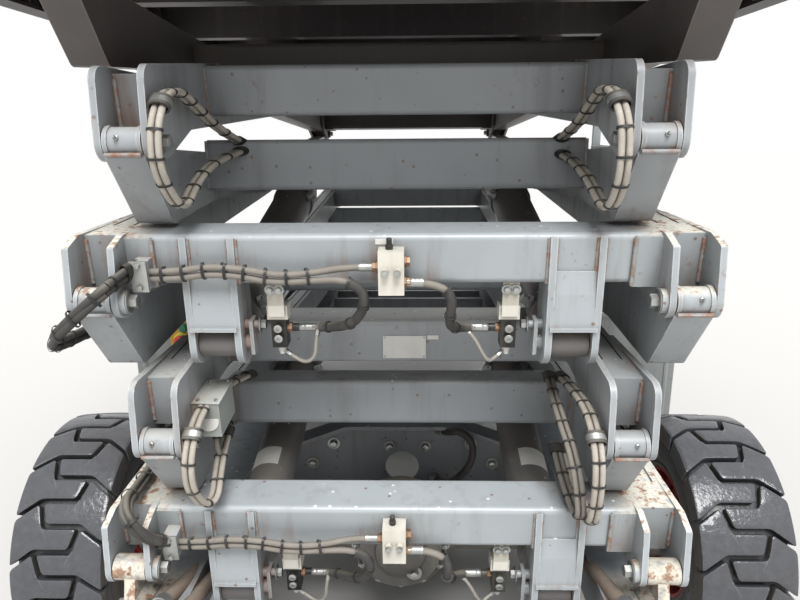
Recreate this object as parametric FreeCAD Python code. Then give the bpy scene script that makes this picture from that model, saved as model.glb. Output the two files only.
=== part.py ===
import FreeCAD, Part
import math
import os

# Rough-terrain scissor lift, stowed. Millimetres, +X to the machine's right seen from the pinned end,
# +Y from the pinned end to the sliding end, +Z up. The origin is on the ground under the middle.

V = FreeCAD.Vector

# Scissor stack: four levels, each an outer and an inner arm frame crossed at their middles
levels = 4
arm_pitch = 3400.0
level_rise = 325.0
base_pin_z = 715.0
near_pin_y = -1830.0
arm_height = 120.0
arm_offset = 70.0
arm_width = 80.0
outer_arm_x = 578.0
inner_arm_x = 477.0
groove_width = 6.0
groove_depth = 5.0
groove_inset = 14.0

# Arm ends: a fork with its pin at the low end, a barrel on a raked nose at the high end
pin_r = 19.0
running_gap = 0.05
side_gap = 2.0
fork_plate = 14.0
fork_eye_r = 38.0
fork_length = 340.0
fork_mouth = 65.0
fork_rake = 30.0
fork_crown = 146.0
barrel_r = 30.0
barrel_collar_r = 33.0
barrel_collar = 9.0
nose_drop = 165.0
nose_rake = 135.0
nose_taper = 420.0
pin_head_r = 26.0
pin_head = 12.0
centre_pin_r = 28.0
centre_boss_r = 50.0
centre_head_r = 42.0

# Cross tubes of the arm frames: the outer ones close behind the forks, the inner ones further back
tube_front = 50.0
tube_depth = 120.0
tube_low = 20.0
tube_tall = 110.0
tube_round = 14.0
cheek = 56.0
cheek_proud = 5.0
inner_back = 360.0
inner_low = 21.0
inner_tall = 120.0
inner_high_low = -90.0
inner_high_tall = 125.0
set_back = 0.206 * arm_pitch
set_back_tall = 72.0
set_back_low = -74.0

# Rollers at the sliding end of the lowest and the highest inner arms
roller_r = 38.0
roller_width = 62.0
roller_end = 5.0
track_play = 10.0
track_gap = 3.0
track_wall = 10.0

# Lift cylinders: two pairs, one on level 1 and one on level 3
cylinder_x = 390.0
lug_plate = 15.0
lug_spread = 102.0
lug_foot = 16.0
eye_r = 34.0
eye_gap = 2.0
eye_pin_r = 18.0
eye_s = 75.0
eye_t = -125.0
rod_eye_s = 0.653 * arm_pitch
rod_eye_t = -83.0
rod_eye_gap = 3.0
barrel_tube_r = 65.0
barrel_bore_r = 52.0
barrel_neck_r = 38.0
barrel_start = 95.0
barrel_end = 0.294 * arm_pitch
gland = 40.0
rod_r = 35.0
rod_start = 140.0

# Valves and the sensor box
manifold_wide = 54.0
valve_x = 258.0
sensor_wide = 62.0
hose_r = 10.0
clamp_wide = 32.0

# Wheels and axles
tyre_r = 387.5
tyre_width = 265.0
rim_r = 209.5
tread_width = 220.0
tread_depth = 24.0
tyre_blocks = 17
lug_reach = 126.0
lug_fall = 80.0
lug_wide = 34.0
lug_skew = 28.0
wheel_x = 992.5
wheelbase = 2380.0
hub_r = 92.0
spindle_r = 42.0
hub_depth = 110.0
tie_arm = 150.0
axle_tube_r = 66.0
kingpin_x = 790.0
kingpin_r = 24.0

# Chassis
rail_in = 500.0
rail_out = 640.0
rail_low = 500.0
rail_top = 620.0
chassis_near = -1900.0
rail_overhang = 205.57
neck_wide = 26.0
tie_lug_x = 620.0
tie_lug = 16.0
tie_hole_r = 16.0

# Side cabinets, behind doors hinged along their top edges
cabinet_in = 700.0
cabinet_out = 1085.0
cabinet_low = 440.0
cabinet_top = 1010.0
cabinet_near = -690.0
left_far = 640.0
right_far = 80.0
sheet = 6.0
engine_room = 30.0
engine_length = 700.0
door_thick = 25.0
door_gap = 4.0
seat_gap = 0.3
hinge_r = 7.0
hinge_pin_r = 3.5
hinge_leaf = 60.0
hinge_rise = 7.0

# Platform
platform_half = 1000.0
platform_length = 3960.0
beam_low = 2022.0
beam_top = 2220.0
deck_thick = 15.0
rail_tube = 38.0
rail_height = 1110.0
mid_rail = 560.0
toe_board = 150.0
extension_near = 700.0
extension_gap = 55.0
gate_near = 130.0
gate_width = 520.0
gate_play = 6.0
gate_bar = 30.0
gate_hinge_in = 26.0

# Entry ladder
ladder_x = 1040.0
ladder_width = 430.0
ladder_low = 375.0
ladder_top = 1930.0
ladder_steps = 5

# Derived places
lean = math.asin(level_rise / arm_pitch)
arm_span = arm_pitch * math.cos(lean)
far_pin_y = near_pin_y + arm_span
chassis_far = far_pin_y + rail_overhang
outer_out = outer_arm_x + arm_width
inner_out = inner_arm_x + arm_width
top_pin_z = base_pin_z + levels * level_rise
near_axle_y = -wheelbase / 2
far_axle_y = wheelbase / 2
platform_near = -platform_length / 2
platform_far = platform_length / 2
deck_top = beam_top + deck_thick
track_reach = arm_pitch * math.cos(math.radians(60.5))
track_out = outer_arm_x + side_gap + roller_width + track_play + track_wall


def box(x0, x1, y0, y1, z0, z1):
    return Part.makeBox(x1 - x0, y1 - y0, z1 - z0, V(x0, y0, z0))


def disc_x(y, z, r, x0, x1):
    return Part.makeCylinder(r, x1 - x0, V(x0, y, z), V(1, 0, 0))


def disc_y(x, z, r, y0, y1):
    return Part.makeCylinder(r, y1 - y0, V(x, y0, z), V(0, 1, 0))


def disc_z(x, y, r, z0, z1):
    return Part.makeCylinder(r, z1 - z0, V(x, y, z0), V(0, 0, 1))


def corner(before, at, after, radius):
    # The two tangent points and the middle of the arc that rounds one corner
    a = (before - at).normalize()
    b = (after - at).normalize()
    half = a.getAngle(b) / 2
    reach = radius / math.tan(half)
    middle = (a + b).normalize() * (radius / math.sin(half) - radius)
    return at + a * reach, at + middle, at + b * reach


def outline(points, place):
    # Closed wire through (u, v, corner radius) points; place maps u, v to a vector
    spots = [place(u, v) for u, v, _ in points]
    count = len(points)
    ends = []
    for i, (_, _, radius) in enumerate(points):
        at = spots[i]
        if radius:
            ends.append(corner(spots[i - 1], at, spots[(i + 1) % count], radius))
        else:
            ends.append((at, None, at))
    edges = []
    for i in range(count):
        start, middle, stop = ends[i]
        if middle is not None:
            edges.append(Part.Arc(start, middle, stop).toShape())
        edges.append(Part.LineSegment(stop, ends[(i + 1) % count][0]).toShape())
    return Part.Wire(edges)


def plate_x(points, x0, x1):
    # A plate in the Y-Z plane, from (y, z, radius) points
    wire = outline(points, lambda u, v: V(x0, u, v))
    return Part.Face(wire).extrude(V(x1 - x0, 0, 0))


def plate_y(points, y0, y1):
    wire = outline(points, lambda u, v: V(u, y0, v))
    return Part.Face(wire).extrude(V(0, y1 - y0, 0))


def plate_z(points, z0, z1):
    wire = outline(points, lambda u, v: V(u, v, z0))
    return Part.Face(wire).extrude(V(0, 0, z1 - z0))


def spun(points, centre):
    # A ring or disc spun about the X axis at centre, from (x, r, corner radius) points
    wire = outline(points, lambda u, v: V(u, 0, v))
    body = Part.Face(wire).revolve(V(0, 0, 0), V(1, 0, 0), 360)
    body.translate(centre)
    return body


def tube_path(points):
    # Straight runs joined by tangent arcs, each as large as its two runs allow, and its tightest radius
    spots = [V(*point) for point in points]
    edges = []
    start = spots[0]
    tightest = math.inf
    for before, at, after in zip(spots, spots[1:], spots[2:]):
        short = min((before - at).Length, (after - at).Length)
        radius = 0.45 * short * math.tan((before - at).getAngle(after - at) / 2)
        first, middle, last = corner(before, at, after, radius)
        edges.append(Part.LineSegment(start, first).toShape())
        edges.append(Part.Arc(first, middle, last).toShape())
        start = last
        tightest = min(tightest, radius)
    edges.append(Part.LineSegment(start, spots[-1]).toShape())
    return Part.Wire(edges), tightest


def hose(points):
    path, tightest = tube_path(points)
    begin = V(*points[0])
    circle = Part.makeCircle(hose_r, begin, V(*points[1]) - begin)
    body = path.makePipeShell([Part.Wire(circle)], True, False)
    share = body.Volume / (math.pi * hose_r ** 2 * path.Length)
    print("hose", round(path.Length), "mm long, tightest radius", round(tightest), "volume share", round(share, 3))
    return body


def mirrored(shape):
    return shape.mirror(V(0, 0, 0), V(1, 0, 0))


def pair(shape):
    return [shape, mirrored(shape)]


def joined(shapes):
    whole = shapes[0].fuse(shapes[1:]) if len(shapes) > 1 else shapes[0]
    return whole.removeSplitter()


def save(name, shape):
    if isinstance(shape, list):
        shape = Part.makeCompound(shape)
    shape.exportStep("parts/" + name + ".step")
    solids = shape.Solids
    print(name, len(solids), "solids", round(sum(s.Volume for s in solids) / 1e6, 2), "litres", shape.isValid())


def centre_line(s):
    # Height of an arm's own middle above the line between its end pins
    return arm_offset * (1 - 2 * s / arm_pitch)


def arm_top(s):
    return centre_line(s) + arm_height / 2


def arm_bottom(s):
    return centre_line(s) - arm_height / 2


def arm_body(x_in):
    # One arm of a frame, seen from its side in (s, t): s runs from the low pin to the high pin
    high = arm_pitch
    side = [
        (fork_mouth, arm_bottom(fork_mouth), 0),
        (high - nose_taper, arm_bottom(high - nose_taper), 0),
        (high - nose_rake + 25, -nose_drop, 22),
        (high + 24, -26, 6),
        (high - 50, arm_top(high - 50), 0),
        (fork_mouth, arm_top(fork_mouth), 0),
    ]
    body = plate_x(side, x_in, x_in + arm_width)
    slope = math.atan2(arm_top(high) - arm_top(0), high)
    for x in (x_in + groove_inset, x_in + arm_width - groove_inset - groove_width):
        groove = box(x, x + groove_width, 0, high - 60 - fork_length / 2, -groove_depth, groove_depth)
        groove.rotate(V(0, 0, 0), V(1, 0, 0), math.degrees(slope))
        groove.translate(V(0, fork_length / 2, arm_top(fork_length / 2)))
        body = body.cut(groove)
    return body


def fork_plates(x_in, outer):
    # The fork's side plates, raked at the front; an inner frame's inside plate goes back to its cross tube
    crown = tube_low + tube_tall + 3 if outer else fork_crown
    front = [(-fork_eye_r, -fork_eye_r, fork_eye_r - 1)]
    if outer:
        front += [(fork_rake - fork_eye_r, crown - 15, 6), (44, crown, 6)]
    else:
        front += [(fork_rake - fork_eye_r, crown, 34)]
    heel = [(fork_length - 60, arm_bottom(fork_length) + 24, 30), (70, -fork_eye_r, fork_eye_r - 1)]
    short = front + [(fork_length, arm_top(fork_length) - 4, 0)] + heel
    reach = inner_back + tube_depth + 10
    long = front + [(reach, crown, 0), (reach, arm_bottom(reach) + 30, 0)] + heel
    inside = plate_x(short if outer else long, x_in - fork_plate, x_in)
    outside = plate_x(short, x_in + arm_width, x_in + arm_width + fork_plate)
    return [inside, outside]


def fork_pin(x_in, x_end):
    pin = disc_x(0, 0, pin_r, x_in - fork_plate, x_end)
    head = disc_x(0, 0, pin_head_r, x_in - fork_plate - pin_head, x_in - fork_plate)
    return [pin, head]


def high_barrel(x_in):
    x0 = x_in + side_gap
    x1 = x_in + arm_width - side_gap
    barrel = disc_x(arm_pitch, 0, barrel_r, x0, x1)
    collars = [disc_x(arm_pitch, 0, barrel_collar_r, x0, x0 + barrel_collar),
               disc_x(arm_pitch, 0, barrel_collar_r, x1 - barrel_collar, x1)]
    return [barrel] + collars


def cylinder_lugs(centre_s, centre_t, root):
    # Plates on both sides of each cylinder eye; root lists the (s, t) corners on the cross tube
    foot = eye_r + lug_foot
    shape = [
        (root[0][0], root[0][1], 0),
        (centre_s - foot + 8, (root[0][1] + centre_t) / 2, 60),
        (centre_s - foot, centre_t - foot, foot - 1),
        (centre_s + foot, centre_t - foot, foot - 1),
        (centre_s + foot + 12, (root[1][1] + centre_t) / 2, 60),
        (root[1][0], root[1][1], 0),
    ]
    plates = []
    for x in (cylinder_x - lug_spread / 2, cylinder_x + lug_spread / 2):
        plates += pair(plate_x(shape, x - lug_plate / 2, x + lug_plate / 2))
    return plates


def lug_webs():
    # The bent plate that closes the front between each pair of lugs, with a flange under it
    x0 = cylinder_x - lug_spread / 2
    x1 = cylinder_x + lug_spread / 2
    low = eye_t + eye_r + 10
    bend = [(tube_front - 4, tube_low + 30, 0), (tube_front - 14, 0, 40), (tube_front - 22, low + 8, 0),
            (tube_front - 12, low + 8, 0), (tube_front - 4, 0, 30), (tube_front + 6, tube_low + 30, 0)]
    flange = box(x0, x1, tube_front - 28, tube_front + 8, low, low + 9)
    return pair(plate_x(bend, x0, x1)) + pair(flange)


def pin_keepers():
    # A flat bar and its bolt, which stop each lug pin from turning, on the inside of the lugs
    face = cylinder_x - lug_spread / 2 - lug_plate / 2 - pin_head
    bar = box(face - 8, face, eye_s - 20, eye_s + 20, eye_t - 24, eye_t + 56)
    bolt = disc_x(eye_s, eye_t + 42, 9, face - 20, face - 8)
    spacer = disc_x(eye_s, eye_t + 42, 12, face, face + pin_head)
    return pair(bar) + pair(bolt) + pair(spacer)


def cross_tube(half, s0, depth, t0, tall):
    s1, t1 = s0 + depth, t0 + tall
    r = tube_round
    return plate_x([(s0, t0, r), (s1, t0, r), (s1, t1, r), (s0, t1, r)], -half, half)


def arm_frame(family, level):
    outer = family == "outer"
    x_in = outer_arm_x if outer else inner_arm_x
    clear_half = x_in - fork_plate
    roller_pin = outer_arm_x + side_gap + roller_width + roller_end
    rolls_low = family == "inner" and level == 1
    rolls_high = family == "inner" and level == levels
    pin_end = roller_pin if rolls_low else x_in + arm_width + fork_plate
    solids = pair(arm_body(x_in))
    for piece in fork_plates(x_in, outer) + fork_pin(x_in, pin_end) + high_barrel(x_in):
        solids += pair(piece)
    if rolls_high:
        solids += pair(disc_x(arm_pitch, 0, pin_r, x_in + side_gap, roller_pin))
    if outer:
        solids.append(cross_tube(clear_half + 2, tube_front, tube_depth, tube_low, tube_tall))
        solids += pair(box(clear_half - cheek, clear_half + 2, tube_front - cheek_proud, tube_front + tube_depth,
                           tube_low - cheek_proud, tube_low + tube_tall - cheek_proud))
        solids.append(cross_tube(x_in, arm_pitch - set_back - tube_depth / 2, tube_depth,
                                 set_back_low, set_back_tall))
    else:
        solids.append(cross_tube(clear_half + 2, inner_back, tube_depth, inner_low, inner_tall))
        solids.append(cross_tube(x_in, arm_pitch - inner_back - tube_depth, tube_depth,
                                 inner_high_low, inner_high_tall))
        boss = disc_x(arm_pitch / 2, 0, centre_boss_r, inner_out, outer_arm_x - side_gap)
        pin = disc_x(arm_pitch / 2, 0, centre_pin_r, inner_out, outer_out + side_gap + pin_head)
        head = disc_x(arm_pitch / 2, 0, centre_head_r, outer_out + side_gap, outer_out + side_gap + pin_head)
        solids += pair(boss) + pair(pin) + pair(head)
    if level in (1, 3) and outer:
        root = ((tube_front - 8, tube_low + tube_tall - 4), (tube_front + 40, tube_low + tube_tall - 30))
        solids += cylinder_lugs(eye_s, eye_t, root) + lug_webs() + pin_keepers() + [hose_clamp()]
        lug_out = lug_spread / 2 + lug_plate / 2
        solids += pair(disc_x(eye_s, eye_t, eye_pin_r, cylinder_x - lug_out - pin_head, cylinder_x + lug_out + 5))
    if level in (1, 3) and not outer:
        solids.append(cross_tube(x_in, rod_eye_s - 55, 110, -28, 80))
        root = ((rod_eye_s - 50, -20), (rod_eye_s + 50, -20))
        solids += cylinder_lugs(rod_eye_s, rod_eye_t, root)
    whole = joined(solids)
    bores = []
    if not rolls_high:
        bores += pair(disc_x(arm_pitch, 0, pin_r + running_gap, x_in, x_in + arm_width))
    if outer:
        bores += pair(disc_x(arm_pitch / 2, 0, centre_pin_r + running_gap, x_in, outer_out))
    return whole.cut(bores) if bores else whole


def near_low(family, level):
    # True when the frame's low pin is at the pinned end of the machine
    return (level % 2 == 1) == (family == "outer")


def placed(shape, family, level):
    # From an arm's own (s, t) frame to the stowed machine
    z = base_pin_z + (level - 1) * level_rise
    copy = shape.copy()
    if near_low(family, level):
        copy.rotate(V(0, 0, 0), V(1, 0, 0), math.degrees(lean))
        copy.translate(V(0, near_pin_y, z))
    else:
        copy = copy.mirror(V(0, 0, 0), V(0, 1, 0))
        copy.rotate(V(0, 0, 0), V(1, 0, 0), -math.degrees(lean))
        copy.translate(V(0, far_pin_y, z))
    return copy


def valve_gear():
    # On the front of an outer frame's low cross tube: a manifold, and under it a holding valve for each cylinder
    block = joined([
        box(-manifold_wide / 2, manifold_wide / 2, tube_front - 45, tube_front - seat_gap, 10, 104),
        disc_y(-13, 62, 8, tube_front - 55, tube_front - 45),
        disc_y(13, 62, 8, tube_front - 55, tube_front - 45),
    ])
    x = valve_x
    valve = joined([
        box(x - 18, x + 18, tube_front + 12, tube_front + 20, -60, tube_low - seat_gap),
        box(x - 23, x + 23, tube_front + 20, tube_front + 62, -72, -38),
        box(x - 17, x + 17, tube_front + 24, tube_front + 62, -140, -72),
        disc_y(x, -90, 8, tube_front + 16, tube_front + 24),
        disc_y(x, -114, 8, tube_front + 16, tube_front + 24),
        disc_x(tube_front + 44, -98, 9, x - 17 - 26, x - 17),
    ])
    return [block] + pair(valve)


def hose_clamp():
    # On the front of the left cheek, where the hoses from the next level arrive
    x1 = cheek - outer_arm_x + fork_plate
    return box(x1 - clamp_wide, x1, tube_front - 46, tube_front - cheek_proud, 24, 84)


# Hose routes on an outer frame, as (x, s, t) points: clamp to manifold, clamp to left valve, manifold to right valve
supply_route = [(-507.7, 18, 66), (-450, 18, 66), (-385, 13, 77), (-310, 13, 72), (-240, 13, 57), (-165, 14, 62),
                (-95, 27, 66), (-27.3, 27, 66)]
left_route = [(-507.7, 18, 41), (-450, 18, 41), (-385, 13, 52), (-315, 13, 47), (-245, 13, 33), (-165, 13, 37),
              (-100, 12, 44), (-54, 12, 18), (-62, 14, -34), (-98, 50, -78), (-160, 94, -98), (-214.8, 94, -98)]
right_route = [(27.3, 27, 32), (82, 27, 32), (130, 14, 10), (124, 16, -40), (126, 50, -82), (160, 94, -98),
               (214.8, 94, -98)]


def in_machine(s, t, family, level):
    # The stowed (y, z) of a point given in an arm's own frame
    side = 1 if near_low(family, level) else -1
    y0 = near_pin_y if side > 0 else far_pin_y
    y = y0 + side * (s * math.cos(lean) - t * math.sin(lean))
    z = base_pin_z + (level - 1) * level_rise + s * math.sin(lean) + t * math.cos(lean)
    return y, z


def sensor_box():
    # Grey box on the inside of the second inner frame's left plate
    x1 = -(inner_arm_x - fork_plate) + sensor_wide
    return box(-(inner_arm_x - fork_plate) + seat_gap, x1, 60, 175, -24, 62)


def rollers(y, z):
    x0 = outer_arm_x + side_gap
    wheel = disc_x(y, z, roller_r, x0, x0 + roller_width)
    wheel = wheel.cut(disc_x(y, z, pin_r + running_gap, x0, x0 + roller_width))
    return pair(wheel)


def track(y0, y1, z):
    # A channel open towards the inside, which the rollers run in
    inner = roller_r + track_gap
    x0 = outer_arm_x - side_gap
    x1 = track_out
    outside = box(x0, x1, y0, y1, z - inner - track_wall, z + inner + track_wall)
    return outside.cut(box(x0, x1 - track_wall, y0, y1, z - inner, z + inner))


def cylinder_pair(level):
    # Barrels and rods of one pair, drawn along their own axis and then laid from eye to eye
    y0, z0 = in_machine(eye_s, eye_t, "outer", level)
    y1, z1 = in_machine(rod_eye_s, rod_eye_t, "inner", level)
    length = math.hypot(y1 - y0, z1 - z0)
    rise = math.degrees(math.atan2(z1 - z0, y1 - y0))
    half_eye = lug_spread / 2 - lug_plate / 2
    x = cylinder_x
    barrel = joined([
        disc_x(0, 0, eye_r, x - half_eye + eye_gap, x + half_eye - eye_gap),
        disc_y(x, 0, barrel_neck_r, 18, barrel_start + 4),
        disc_y(x, 0, barrel_tube_r, barrel_start, barrel_end),
    ])
    hollow = [
        disc_x(0, 0, eye_pin_r + running_gap, x - half_eye, x + half_eye),
        disc_y(x, 0, barrel_bore_r, rod_start - 20, barrel_end - gland),
        disc_y(x, 0, rod_r + running_gap, rod_start - 20, barrel_end + 1),
    ]
    barrel = barrel.cut(hollow)
    rod = joined([
        disc_y(x, 0, rod_r, rod_start, length - 20),
        disc_x(length, 0, eye_r, x - half_eye + rod_eye_gap, x + half_eye - rod_eye_gap),
    ])
    rod = rod.cut(disc_x(length, 0, eye_pin_r, x - half_eye, x + half_eye))
    for piece in (barrel, rod):
        piece.rotate(V(0, 0, 0), V(1, 0, 0), rise)
        piece.translate(V(0, y0, z0))
    return pair(barrel), pair(rod), length, rise


def faceted(points, sides):
    # A ring about the X axis with flat sides, from (x, r) points; light enough for four of them
    step = 2 * math.pi / sides
    rows = []
    for i in range(sides):
        turn = (i + 0.5) * step
        rows.append([V(x, r * math.sin(turn), -r * math.cos(turn)) for x, r in points])
    faces = []
    for i in range(sides):
        for j in range(len(points)):
            quad = [rows[i - 1][j - 1], rows[i - 1][j], rows[i][j], rows[i][j - 1]]
            faces.append(Part.Face(Part.makePolygon(quad + quad[:1])))
    ring = Part.Solid(Part.makeShell(faces))
    if ring.Volume < 0:
        ring.reverse()
    return ring


def tyre():
    # Carcass with two rows of skewed lugs, half a pitch apart; the lowest lug of one row is flat on the ground
    sides = 2 * tyre_blocks
    half = tyre_width / 2
    tread = tread_width / 2
    bead = half - 36
    bore = rim_r / math.cos(math.pi / sides)
    flank = [(bead, bore), (bead, rim_r + 18), (half, rim_r + 70), (tread, tyre_r - tread_depth)]
    carcass = faceted(flank + [(-x, r) for x, r in reversed(flank)], sides)
    c = (lug_skew - lug_wide) / 2
    d = (lug_skew + lug_wide) / 2
    lug = plate_z([(6, -d, 0), (lug_reach, c, 0), (lug_reach, d, 0), (6, -c, 0)], -tyre_r, lug_fall - tyre_r)
    lugs = []
    for i in range(tyre_blocks):
        for row, shape in enumerate(pair(lug)):
            copy = shape.copy()
            copy.rotate(V(0, 0, 0), V(1, 0, 0), (i + row / 2) * 360 / tyre_blocks)
            lugs.append(copy)
    return carcass.fuse(lugs)


def rim(x, y):
    # Drop-centre rim, dished disc and hub in one, its dish towards +X
    half = tyre_width / 2 - 30 + seat_gap
    wall = 9
    well = rim_r - 34
    face = 46
    barrel = [
        (-half, rim_r - 1, 0), (-half, rim_r + 14, 0), (-half + 6, rim_r + 14, 0), (-half + 6, rim_r - seat_gap, 0),
        (-28, rim_r - seat_gap, 0), (-18, well + wall, 0), (18, well + wall, 0), (28, rim_r - seat_gap, 0),
        (half - 6, rim_r - seat_gap, 0), (half - 6, rim_r + 14, 0), (half, rim_r + 14, 0), (half, rim_r - wall, 0),
        (30, rim_r - wall, 0), (20, well, 0), (-20, well, 0), (-30, rim_r - wall, 0), (-half, rim_r - wall, 0),
    ]
    ring = spun(barrel, V(x, y, tyre_r))
    dish = spun([
        (face - 6, spindle_r + 30, 0), (face + 6, spindle_r + 30, 0), (face + 6, 120, 20),
        (8, well + 2, 0), (-8, well + 2, 0), (face - 6, 116, 20),
    ], V(x, y, tyre_r))
    hub = disc_x(y, tyre_r, hub_r, x - hub_depth, x + face)
    cap = disc_x(y, tyre_r, 60, x + face, x + face + 46)
    bore = disc_x(y, tyre_r, spindle_r + running_gap, x - hub_depth, x + face)
    return joined([ring, dish, hub, cap]).cut(bore)


def near_axle():
    y, z = near_axle_y, tyre_r
    hub_face = wheel_x - hub_depth - side_gap
    parts = [disc_x(y, z, axle_tube_r, -hub_face + 60, hub_face - 60)]
    parts += pair(disc_x(y, z, 84, hub_face - 70, hub_face))
    parts += pair(disc_x(y, z, spindle_r, hub_face, wheel_x + 30))
    cone = Part.makeCone(150, axle_tube_r, 190, V(0, y, z), V(1, 0, 0))
    parts += pair(cone)
    parts.append(disc_y(0, z, 158, y - 96, y + 70))
    parts.append(disc_y(0, z, 132, y - 130, y - 90))
    parts.append(disc_y(0, z, 60, y + 60, y + 185))
    parts += pair(box(rail_in + 20, rail_out - 20, y - 75, y + 75, z + 20, rail_low))
    return joined(parts)


def far_axle():
    # Beam with a fork at each end for the kingpins, hung on a fore-and-aft pivot
    y, z = far_axle_y, tyre_r
    end = kingpin_x + 52
    beam = box(-kingpin_x + 78, kingpin_x - 78, y - 60, y + 60, z - 60, z + 60)
    parts = [beam, disc_y(0, z, 120, y - 88, y + 84), disc_y(0, z + 96, 44, y - 130, y + 130)]
    for z0 in (z - 110, z + 80):
        ear = plate_z([(kingpin_x - 150, y - 58, 0), (end, y - 46, 40), (end, y + 46, 40),
                       (kingpin_x - 150, y + 58, 0)], z0, z0 + 30)
        parts += pair(ear)
    parts += pair(box(kingpin_x - 150, kingpin_x - 78, y - 58, y + 58, z - 110, z + 110))
    whole = joined(parts)
    holes = pair(disc_z(kingpin_x, y, kingpin_r + running_gap, z - 140, z + 140))
    return whole.cut(holes)


def knuckle(side):
    y, z = far_axle_y, tyre_r
    hub_face = wheel_x - hub_depth - side_gap
    parts = [
        disc_z(kingpin_x, y, 46, z - 78, z + 78),
        disc_z(kingpin_x, y, kingpin_r, z - 118, z + 118),
        disc_x(y, z, 58, kingpin_x, hub_face),
        disc_x(y, z, spindle_r, hub_face, wheel_x + 30),
        plate_z([(kingpin_x - 36, y, 0), (kingpin_x + 36, y, 0), (kingpin_x + 22, y - 176, 20),
                 (kingpin_x - 22, y - 176, 20)], z - 76, z - 50),
    ]
    whole = joined(parts)
    whole = whole.cut(disc_z(kingpin_x, y - tie_arm, 14 + running_gap, z - 80, z - 40))
    return whole if side > 0 else mirrored(whole)


def tie_rod():
    y, z = far_axle_y - tie_arm, tyre_r
    parts = [disc_x(y, z - 98, 18, -kingpin_x, kingpin_x)]
    parts += pair(disc_z(kingpin_x, y, 28, z - 116, z - 78))
    parts += pair(disc_z(kingpin_x, y, 14, z - 90, z - 46))
    return joined(parts)


def chassis_frame():
    near, far = chassis_near, chassis_far
    parts = pair(box(rail_in, rail_out, near, far, rail_low, rail_top))
    parts.append(box(-rail_in, rail_in, near, near + 90, rail_low - 70, rail_top - 80))
    parts.append(box(-rail_in, rail_in, far - 90, far, rail_low, rail_top))
    # Outriggers under the cabinets, from (side, y): two for the long left one and two for the short right one
    for side, y in ((-1, -560.0), (-1, 480.0), (1, -560.0), (1, -40.0)):
        x0, x1 = sorted((side * (rail_in + 20), side * (cabinet_out - door_thick)))
        parts.append(box(x0, x1, y - 40, y + 40, cabinet_low - 60, cabinet_low))
        x0, x1 = sorted((side * (rail_in + 20), side * (rail_out - 20)))
        parts.append(box(x0, x1, y - 40, y + 40, cabinet_low, rail_low))
    # Arched cross plate behind the near axle, with a flange along its top
    plate_at = near_axle_y + 205
    arch = [(-rail_in, 430, 0), (rail_in, 430, 0), (rail_in, 560, 0), (200, 672, 60), (-200, 672, 60),
            (-rail_in, 560, 0)]
    web = plate_y(arch, plate_at, plate_at + 12)
    rim_line = [(-rail_in, 560, 0), (rail_in, 560, 0), (rail_in, 574, 0), (200, 686, 60),
                (-200, 686, 60), (-rail_in, 574, 0)]
    cap = plate_y(rim_line, plate_at - 45, plate_at + 45)
    below = [(-rail_in, 540, 0), (rail_in, 540, 0), (rail_in, 562, 0), (200, 674, 60),
             (-200, 674, 60), (-rail_in, 562, 0)]
    cap = cap.cut(plate_y(below, plate_at - 46, plate_at + 46))
    hole = disc_y(0, 505, 62, plate_at - 1, plate_at + 13)
    parts += [web.cut(hole), cap]
    # Base brackets: a barrel on a curved neck for each lowest outer arm
    x0 = outer_arm_x + side_gap
    x1 = outer_out - side_gap
    parts += pair(disc_x(near_pin_y, base_pin_z, barrel_r, x0, x1))
    neck = [(near_pin_y - 24, base_pin_z - 8, 0), (near_pin_y - 40, rail_top + 30, 30),
            (near_pin_y - 58, rail_top - 20, 0), (near_pin_y - 58, rail_low + 20, 0),
            (near_pin_y + 120, rail_low + 20, 0), (near_pin_y + 120, rail_top, 0),
            (near_pin_y + 24, rail_top + 36, 20), (near_pin_y + 24, base_pin_z - 8, 0)]
    middle = (x0 + x1) / 2
    parts += pair(plate_x(neck, middle - neck_wide / 2, middle + neck_wide / 2))
    foot = [(middle - neck_wide / 2 - 22, rail_top - 10, 0), (middle + neck_wide / 2 + 22, rail_top - 10, 0),
            (middle + neck_wide / 2 + 22, rail_top + 6, 0), (middle + neck_wide / 2, rail_top + 34, 12),
            (middle - neck_wide / 2, rail_top + 34, 12), (middle - neck_wide / 2 - 22, rail_top + 6, 0)]
    parts += pair(plate_y(foot, near_pin_y - 40, near_pin_y + 60))
    # Roller tracks on risers
    y0 = near_pin_y + track_reach - roller_r - 50
    y1 = far_pin_y + roller_r + 30
    parts += pair(track(y0, y1, base_pin_z))
    floor = base_pin_z - roller_r - track_gap - track_wall
    parts += pair(box(outer_arm_x + 4, rail_out, y0, y1, rail_top, floor))
    # Pivot ears of the far axle
    for y in (far_axle_y - 122, far_axle_y + 92):
        ear = plate_y([(-90, rail_low + 50, 0), (90, rail_low + 50, 0), (56, tyre_r + 40, 40),
                       (-56, tyre_r + 40, 40)], y, y + 26)
        hole = disc_y(0, tyre_r + 96, 44.3, y - 1, y + 27)
        parts.append(ear.cut(hole))
        parts.append(box(-rail_in, rail_in, y - 4, y + 30, rail_low + 40, rail_top - 10))
    whole = joined(parts)
    whole = whole.cut(pair(disc_x(near_pin_y, base_pin_z, pin_r + running_gap, x0 - 1, x1 + 1)))
    return whole


def tie_down_lugs():
    # Four plates bolted under the rails' ends, each with a bore for a shackle
    lugs = []
    top = rail_low - seat_gap
    for y, way in ((chassis_near + 40, 1), (chassis_far - 40, -1)):
        lug = plate_x([(y - way * 40, rail_low - 64, 30), (y - way * 40, top, 0), (y + way * 70, top, 0),
                       (y + way * 40, rail_low - 64, 30)], tie_lug_x, tie_lug_x + tie_lug)
        hole = disc_x(y, rail_low - 32, tie_hole_r, tie_lug_x, tie_lug_x + tie_lug)
        lugs += pair(lug.cut(hole))
    return lugs


def door_hinges(far):
    # Where each door's two hinges start, and the line that they turn about
    x = cabinet_out - door_thick / 2
    z = cabinet_top + hinge_rise
    return x, z, (cabinet_near + 120, far - 120 - 2 * hinge_leaf)


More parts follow.
